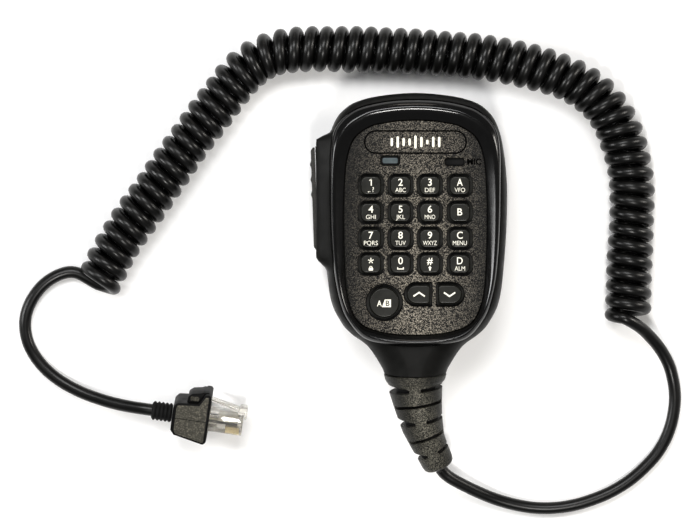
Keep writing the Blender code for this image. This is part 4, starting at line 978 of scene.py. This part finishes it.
def make_panel():
    """Grained face panel with round-lipped wells, an engraved badge line darkened by a band of painted
    shade, and its glyph.
    """
    edge = inset(outline(PANEL_EDGE, RING_POINTS), GAP)
    rings = [at_height(edge, SEAT_Z), at_height(edge, PANEL_Z - PANEL_CHAMFER)]
    panel = lofted("panel", [*rings, at_height(inset(edge, PANEL_CHAMFER), PANEL_Z)], strip=True)
    wells = bmesh.new()
    openings = [rounded(middle(node), KEY_WELL, KEY_CORNER + GAP) for node in LEGENDS]
    openings.append(circle(middle("key_ab"), MODE_WELL_R, ROUND_SIDES))
    openings.extend(half_pill(side, 0, PILL_RIB) for side in (1, -1))
    openings.append(rounded(middle("led_lens"), LED_WINDOW, LED_CORNER))
    openings.append(rounded(MIC_SLOT_AT, MIC_SLOT, MIC_SLOT_CORNER))
    for ring in openings:
        add_loft(wells, flared(ring))
    carve(panel, solid("cutter", wells))
    outer = rounded(BADGE_AT, BADGE_SIZE, BADGE_SIZE[1] / 2, 24)
    inner = inset(outer, BADGE_LINE)
    low = PANEL_Z - BADGE_DEPTH
    carve(panel, lofted("cutter", band(outer, inner, low, PANEL_Z + PAST), ring_closed=True))
    dress(panel, "panel", nodes=("face_panel",))
    # painted shade: a black band laid in the badge's groove so that it reads dark
    outer, inner = inset(outer, BADGE_SHADE_GROW), inset(inner, -BADGE_SHADE_GROW)
    groove_shade = band(outer, inner, low + BADGE_SHADE_Z[0], low + BADGE_SHADE_Z[1])
    dress(lofted("badge_groove_painted_shade", groove_shade, ring_closed=True), None, material="print_and_painted_shade")

    bars = []
    for i in range(BAR_COUNT):
        step = i - BAR_COUNT // 2
        wave = abs(math.sin(BAR_WAVE[0] * step + BAR_WAVE[1]))
        half = BAR_HALF[0] + BAR_HALF[1] * wave * (1 - BAR_FALL * abs(step))
        at = (BADGE_AT[0] + BAR_PITCH * step, BADGE_AT[1])
        ring = rounded(at, (BAR_WIDTH, 2 * half), BAR_CORNER, 8)
        bars.append((ring, PANEL_Z + BAR_Z[0], PANEL_Z + BAR_Z[1]))
    dress(prisms("badge_bars", bars), None, material="ink")
    felt = prisms("sound_felt", [(rounded(MIC_SLOT_AT, FELT_SIZE, FELT_CORNER), *FELT_Z)])
    dress(felt, None, material="soft_rubber")
    word = lettering([SOUND_WORD], ORIGIN, PANEL_Z, SOUND_WORD_THICK, SOUND_WORD_BOLD)
    dress(solid("sound_word", word), None, material="print_and_painted_shade")


# ---- lettering ----
def glyph_mesh(text, weight):
    """A text as a flat-backed mesh from Blender's own font, its strokes grown by a weight."""
    data = bpy.data.curves.new("glyphs", "FONT")
    data.body = text
    data.size = 1
    data.offset = weight
    data.extrude = 0.5
    data.resolution_u = 4
    item = bpy.data.objects.new("glyphs", data)
    mesh = bpy.data.meshes.new_from_object(item)
    bpy.data.objects.remove(item)
    bpy.data.curves.remove(data)
    return mesh


def reach_of(mesh, axis):
    """The lowest and highest coordinate of a mesh along an axis."""
    values = [v.co[axis] for v in mesh.vertices]
    return min(values), max(values)


def lettering(lines, at, z, thick=PRINT, bold=BOLD):
    """Texts about a point as one bmesh on z; a line is (text, height of its capitals, offset)."""
    bm = bmesh.new()
    for text, height, offset in lines:
        weight = bold if height > BOLD_FROM else 0
        capital = glyph_mesh("H", weight)
        low, high = reach_of(capital, 1)
        bpy.data.meshes.remove(capital)
        mesh = glyph_mesh(text, weight)
        left, right = reach_of(mesh, 0)
        tall = height / (high - low)
        wide = min(tall, LETTER_PITCH * height * len(text) / (right - left))
        place = Matrix.Translation((at[0] + offset[0], at[1] + offset[1], z))
        place = place @ Matrix.Diagonal((wide, tall, thick * 2, 1))
        mesh.transform(place @ Matrix.Translation((-(left + right) / 2, -(low + high) / 2, 0)))
        bm.from_mesh(mesh)
        bpy.data.meshes.remove(mesh)
    return bm


def stroke(bm, points, width, z, thick):
    """A flat line of even width along a polyline, with square ends and mitred turns."""
    left, right = [], []
    for i, p in enumerate(points):
        before = Vector(points[max(i - 1, 0)])
        after = Vector(points[min(i + 1, len(points) - 1)])
        run_in = (Vector(p) - before).normalized()
        run_out = (after - Vector(p)).normalized()
        run = (run_in + run_out).normalized()
        side = Vector((-run.y, run.x))
        ahead = run_out if i < len(points) - 1 else run_in
        across = Vector((-ahead.y, ahead.x))
        reach = width / 2 / max(0.5, side.dot(across))
        left.append(tuple(Vector(p) + side * reach))
        right.append(tuple(Vector(p) - side * reach))
    add_prism(bm, [*left, *reversed(right)], z - thick, z + thick)


STAR_R = 1.15
STAR_TURNS = [math.tau * i / 5 for i in range(5)]
ARCH_R = 0.5
ARCH_TURNS = [math.pi * i / 8 for i in range(9)]
ICON_FILLS = {
    "lock": rounded((0, -0.3), (1.7, 1.15), 0.2, 4),
    "shift": [(0, 0.95), (0.75, 0.1), (0.3, 0.1), (0.3, -0.85), (-0.3, -0.85), (-0.3, 0.1), (-0.75, 0.1)],
}
ICON_STROKES = {  # width and points of each line
    "1": [
        (0.42, [(0.15, -DIGIT_HEIGHT / 2), (0.15, DIGIT_HEIGHT / 2)]),
        (0.36, [(-0.6, 0.65), (-0.1, 0.95), (0.3, 1.35)]),
    ],
    "*": [(0.36, [ORIGIN, (STAR_R * math.sin(a), STAR_R * math.cos(a))]) for a in STAR_TURNS],
    "lock": [(0.26, [(ARCH_R * math.cos(a), 0.3 + ARCH_R * math.sin(a)) for a in ARCH_TURNS])],
    "space": [(0.4, [(-1.1, 0.45), (-1.1, -0.25), (1.1, -0.25), (1.1, 0.45)])],
}


def moved(points, at):
    """Points about the origin moved to a place."""
    return [(at[0] + x, at[1] + y) for x, y in points]


def add_icon(bm, name, at):
    """The figure one, the star, or the padlock, space mark or arrow under a main character."""
    if name in ICON_FILLS:
        add_prism(bm, moved(ICON_FILLS[name], at), KEY_TOP_Z - PRINT, KEY_TOP_Z + PRINT)
    for width, points in ICON_STROKES.get(name, []):
        stroke(bm, moved(points, at), width, KEY_TOP_Z, PRINT)


# ---- keys ----
def make_key(node, skirt, top, flange):
    """A key cap: flange, skirt in its well, sloped side, round edge and flat top."""
    rings = [at_height(flange, FLANGE_Z[0]), at_height(flange, FLANGE_Z[1]), at_height(skirt, FLANGE_Z[1])]
    rings.extend(at_height(between(skirt, top, share), z) for share, z in KEY_SLOPE)
    rings.extend(at_height(inset(top, step), KEY_TOP_Z + rise) for step, rise in KEY_EDGE)
    return dress(lofted("cap_" + node[4:], rings), "key_plastic", node, (node,), sharp=70)


def make_keys():
    """Every key with its printed legend, each riding on its own body."""
    for node, (main, below) in LEGENDS.items():
        at = middle(node)
        skirt = rounded(at, KEY_SKIRT, KEY_SKIRT_CORNER)
        flange = rounded(at, KEY_FLANGE, KEY_CORNER)
        make_key(node, skirt, rounded(at, KEY_TOP, KEY_TOP_CORNER), flange)
        rise = MAIN_RISE[below != ""]
        lines = [(main, DIGIT_HEIGHT, (0, rise))] if main not in "1*" else []
        if below.isupper():
            lines.append((below, WORD_HEIGHT, (0, WORD_DROP)))
        if below == ",.?":
            lines.extend(MARKS)
        bm = lettering(lines, at, KEY_TOP_Z)
        add_icon(bm, main, (at[0], at[1] + rise))
        add_icon(bm, below, (at[0], at[1] + ICON_DROP))
        dress(solid("legend_" + node[4:], bm), None, node, material="ink")

    at = middle("key_ab")
    make_key("key_ab", *(circle(at, radius, ROUND_SIDES) for radius in MODE_RADII))
    bm = lettering([MODE_A], at, KEY_TOP_Z)
    add_prism(bm, moved(MODE_PATCH, at), KEY_TOP_Z - PRINT, KEY_TOP_Z + PRINT)
    dress(solid("legend_ab", bm), None, "key_ab", material="ink")
    letter = lettering([MODE_B], at, KEY_TOP_Z + MODE_B_RISE, MODE_B_THICK)
    dress(solid("legend_ab_letter", letter), None, "key_ab", material="key_plastic")

    for node, side, turn in (("key_up", -1, 1), ("key_down", 1, -1)):
        make_key(node, *(half_pill(side, grow, rib) for grow, rib in (PILL_SKIRT, PILL_TOP, PILL_FLANGE)))
        bm = bmesh.new()
        chevron = moved([(x, y * turn) for x, y in CHEVRON], (PILL[0] + side * CHEVRON_AT, PILL[1]))
        stroke(bm, chevron, CHEVRON_WIDTH, KEY_TOP_Z, PRINT)
        dress(solid("legend_" + node[4:], bm), None, node, material="ink")


def make_lens():
    """The lamp's window with a soft edge, in its black frame."""
    at = middle("led_lens")
    frame_ring = rounded(at, LED_FRAME, LED_FRAME_CORNER)
    dress(prisms("lamp_frame", [(frame_ring, *LED_FRAME_Z)]), None, material="soft_rubber")
    top = rounded(at, LENS_SIZE, LENS_CORNER)
    rings = [at_height(inset(top, step), z) for step, z in LENS_LEVELS]
    dress(lofted("lamp_window", rings), "lens", nodes=("led_lens",))


# ---- push-to-talk pad ----
def make_pad():
    """Rubber pad of the push-to-talk bar, with three grip bumps and round edges."""
    low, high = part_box("ptt_pad")
    y_low, y_high = low.y / MM, high.y / MM
    turns = [math.pi / 2 * k / PAD_CORNER_STEPS for k in range(PAD_CORNER_STEPS + 1)]
    corner = [(PAD_ROUND[0] * (1 - math.sin(a)), PAD_ROUND[1] * (1 - math.cos(a))) for a in turns]
    (y_start, x_start), (y_end, x_end) = PAD_BACK_AT
    rings = []
    for i in range(PAD_ROWS + 1):
        y = mix(y_high, y_low, i / PAD_ROWS)
        back = mix(x_start, x_end, (y - y_start) / (y_end - y_start))
        end = smoothstep(min(y_high - y, y - y_low), 0, PAD_END_RUN)
        bumps = sum(math.exp(-((y - at) / PAD_BUMP_WIDTH) ** 2) for at in PAD_BUMPS)
        face = back - PAD_OUT[0] - PAD_OUT[1] * end - PAD_OUT[2] * min(1, bumps)
        narrow = PAD_END_TAPER * (1 - end)
        z_low, z_high = low.z / MM + narrow, high.z / MM - narrow
        ring = [(back, z_low), *[(face + dx, z_low + dz) for dx, dz in corner]]
        ring.extend((face + dx, z_high - dz) for dx, dz in reversed(corner))
        rings.append([(x, y, z) for x, z in [*ring, (back, z_high)]])
    dress(lofted("talk_pad", rings), "pad_rubber", "ptt_bar", ("ptt_pad",), sharp=50)


# ---- strain relief ----
def axis_frame(axis, reach):
    """Place, right, up and forward directions at a distance along a smooth polyline."""
    left = reach
    for a, b in zip(axis, axis[1:]):
        step = (b - a).length
        if left <= step:
            break
        left -= step
    forward = (b - a).normalized()
    up = (Vector((0, 0, 1)) - forward * forward.z).normalized()
    return a + forward * left, up.cross(forward), up, forward


def boot_rings(axis, sections):
    """Oval rings square to the boot's bent axis from (reach, half width, half height)."""
    rings = []
    for reach, wide, high in sections:
        at, right, up, _ = axis_frame(axis, max(reach, 0))
        if reach < 0:
            at = at + Vector((0, -reach, 0))
        turns = [math.tau * i / ROUND_SIDES for i in range(ROUND_SIDES)]
        rings.append([at + right * (wide * math.cos(a)) + up * (high * math.sin(a)) for a in turns])
    return rings


def make_boot():
    """Tapered rubber boot over a dark core of painted shade, slotted by turns at its sides and across its
    face.
    """
    axis = resample(smooth_path(BOOT_AXIS), BOOT_STEPS)
    boot = lofted("boot", boot_rings(axis, [*BOOT_SPIGOT, *BOOT_SECTIONS]))
    # painted shade: a dark core inside the boot, seen through the slots as their shaded depth
    share = BOOT_SHADE_CORE_SHARE
    inner = [(reach, wide * share, high * share) for reach, wide, high in BOOT_SECTIONS[4:-3]]
    slot_shade_core = dress(lofted("boot_core_painted_shade", boot_rings(axis, inner)), None, material="soft_rubber")
    for slots, sides in ((BOOT_SIDE_SLOTS, ((1, 0), (-1, 0))), (BOOT_FACE_SLOTS, ((0, 1), (0, -1)))):
        cutter = bmesh.new()
        for reach, width, opened in slots:
            at, right, up, forward = axis_frame(axis, reach)
            for side_x, side_y in sides:
                out = right * side_x + up * side_y
                across = (up * abs(side_x) + right * abs(side_y)) * BOOT_SLOT_REACH
                core = BOOT_INNER_CORE if right.x * side_x > 0 else BOOT_CORE
                opening = opened if right.x * side_x < 0 else 0
                ends = []
                for shift, flare in ((-width / 2, -opening), (width / 2, 0)):
                    base = at + out * core + forward * shift
                    tip = at + out * BOOT_SLOT_REACH + forward * (shift + flare)
                    ends.append([base + across, tip + across, tip - across, base - across])
                add_loft(cutter, ends)
        carve(boot, solid("cutter", cutter))
    return [dress(boot, "boot_rubber", nodes=("strain_relief",), sharp=30), slot_shade_core]


# ---- plug ----
def plug_place():
    """Plug axes: x towards the nose, y to the latch's side, z to the side that faces up."""
    heading = Matrix.Rotation(PLUG_HEADING, 4, "Z")
    roll = Matrix.Rotation(PLUG_ROLL, 4, "X")
    return Matrix.Translation(Vector(PLUG_AT) * MM) @ heading @ roll


def side_prism(name, shapes):
    """Prisms across the plug from (side outline, low, high) triples."""
    return prisms(name, shapes, plug_place())


def across_plug(name, ring, half, round_mm=0, segments=3):
    """One prism across the plug, as far to one side as to the other, with its edges rounded."""
    item = side_prism(name, [(ring, -half, half)])
    return soften(item, round_mm, segments) if round_mm else item


def make_plug():
    """Ribbed tail, two-tone boot with its latch guard, clear plug, wires, contacts and latch."""
    place = plug_place()
    profile = [*TAIL_END]
    for i in range(TAIL_RIBS):
        profile.extend((radius, TAIL_FIRST + TAIL_PITCH * (i + share)) for radius, share in TAIL_RIB)
    turn = Matrix.Rotation(math.pi / 2, 4, "Y")
    tail = turned("plug_tail", [*profile, TAIL_ROOT], ORIGIN, TAIL_SIDES, place @ turn)
    dress(tail, "jacket", nodes=("plug_strain_relief",), sharp=60, material="soft_rubber")

    boot = across_plug("plug_cover", PLUG_BOOT_SIDE, PLUG_BOOT_HALF, PLUG_ROUND)
    carve(boot, across_plug("cutter", HOOD_SIDE, HOOD_HALF, PLUG_ROUND), "UNION")
    socket = box_ring(PLUG_BACK - GAP, PAST, PLUG_FLOOR - GAP, PLUG_ROOF + GAP)
    carve(boot, across_plug("cutter", socket, PLUG_HALF_WIDTH + GAP))
    carve(boot, across_plug("cutter", box_ring(*LATCH_SLOT), LATCH_SLOT_HALF))
    window = rounded(HOOD_WINDOW_AT, HOOD_WINDOW, HOOD_WINDOW_CORNER, 6)
    carve(boot, across_plug("cutter", window, HOOD_HALF + PAST))
    dress(boot, "plug_rubber", nodes=("plug_boot",), sharp=30)
    grain = []
    for side in (-1, 1):
        faces = sorted(side * z for z in GRAIN_Z)
        grain.extend((shape, *faces) for shape in (CHEEK_UPPER, CHEEK_LOWER))
        grain.append((inset(window, -WINDOW_PATCH_GROW), *sorted(side * z for z in WINDOW_PATCH_Z)))
    cheeks = soften(side_prism("plug_cheeks", grain), CHEEK_ROUND, 1)
    dress(cheeks, None, material="plug_grain")

    body_ring = box_ring(PLUG_BACK, PLUG_NOSE, PLUG_FLOOR, PLUG_ROOF)
    body = across_plug("plug_shell", body_ring, PLUG_HALF_WIDTH, SHELL_ROUND)
    carve(body, side_prism("cutter", [(box_ring(*hollow), -half, half) for hollow, half in PLUG_HOLLOWS]))
    pockets = [(box_ring(*POCKET), at - POCKET_HALF, at + POCKET_HALF) for at in BLADES_Z]
    carve(body, side_prism("cutter", pockets))
    dress(body, "clear", nodes=("plug_body",), sharp=30)
    blades = [(box_ring(*BLADE), at - BLADE_HALF, at + BLADE_HALF) for at in BLADES_Z]
    comb = dress(side_prism("plug_blades", blades), "gold", nodes=("plug_contacts",))

    fans = []
    for name, group, radius, finish in WIRES:
        wires = bmesh.new()
        ring = circle(ORIGIN, radius, 16)
        for at in group:
            add_loft(wires, [[(x, WIRE_Y + p, at + q) for p, q in ring] for x in WIRE_X])
        fans.append(dress(solid(name, wires, place), None, material=finish))

    latch = across_plug("latch", LATCH_HEAD, LATCH_HEAD_HALF, LATCH_ROUND, 2)
    carve(latch, across_plug("cutter", LATCH_LEVER, LATCH_LEVER_HALF, LATCH_ROUND, 2), "UNION")
    dress(latch, "clear", "latch", ("plug_latch",), sharp=30)
    return [tail, boot, cheeks, body, comb, *fans, latch]


# ---- build ----
MATERIALS = {name: surface(name, *finish) for name, finish in FINISHES.items()}
make_stage()
cord = make_cord()
make_case()
make_back_fittings()
make_ring()
make_panel()
make_keys()
make_lens()
make_pad()
boot_pieces = make_boot()
plug_pieces = make_plug()
for entry in frame["record"]["subparts"]:
    kept = frame["nodes"][entry["node"]]
    kept.data.materials.clear()
    kept.data.materials.append(MATERIALS[entry["material_slot"]])
    kept.data.shade_smooth()
    kept.data.set_sharp_from_angle(angle=math.radians(CREASE))
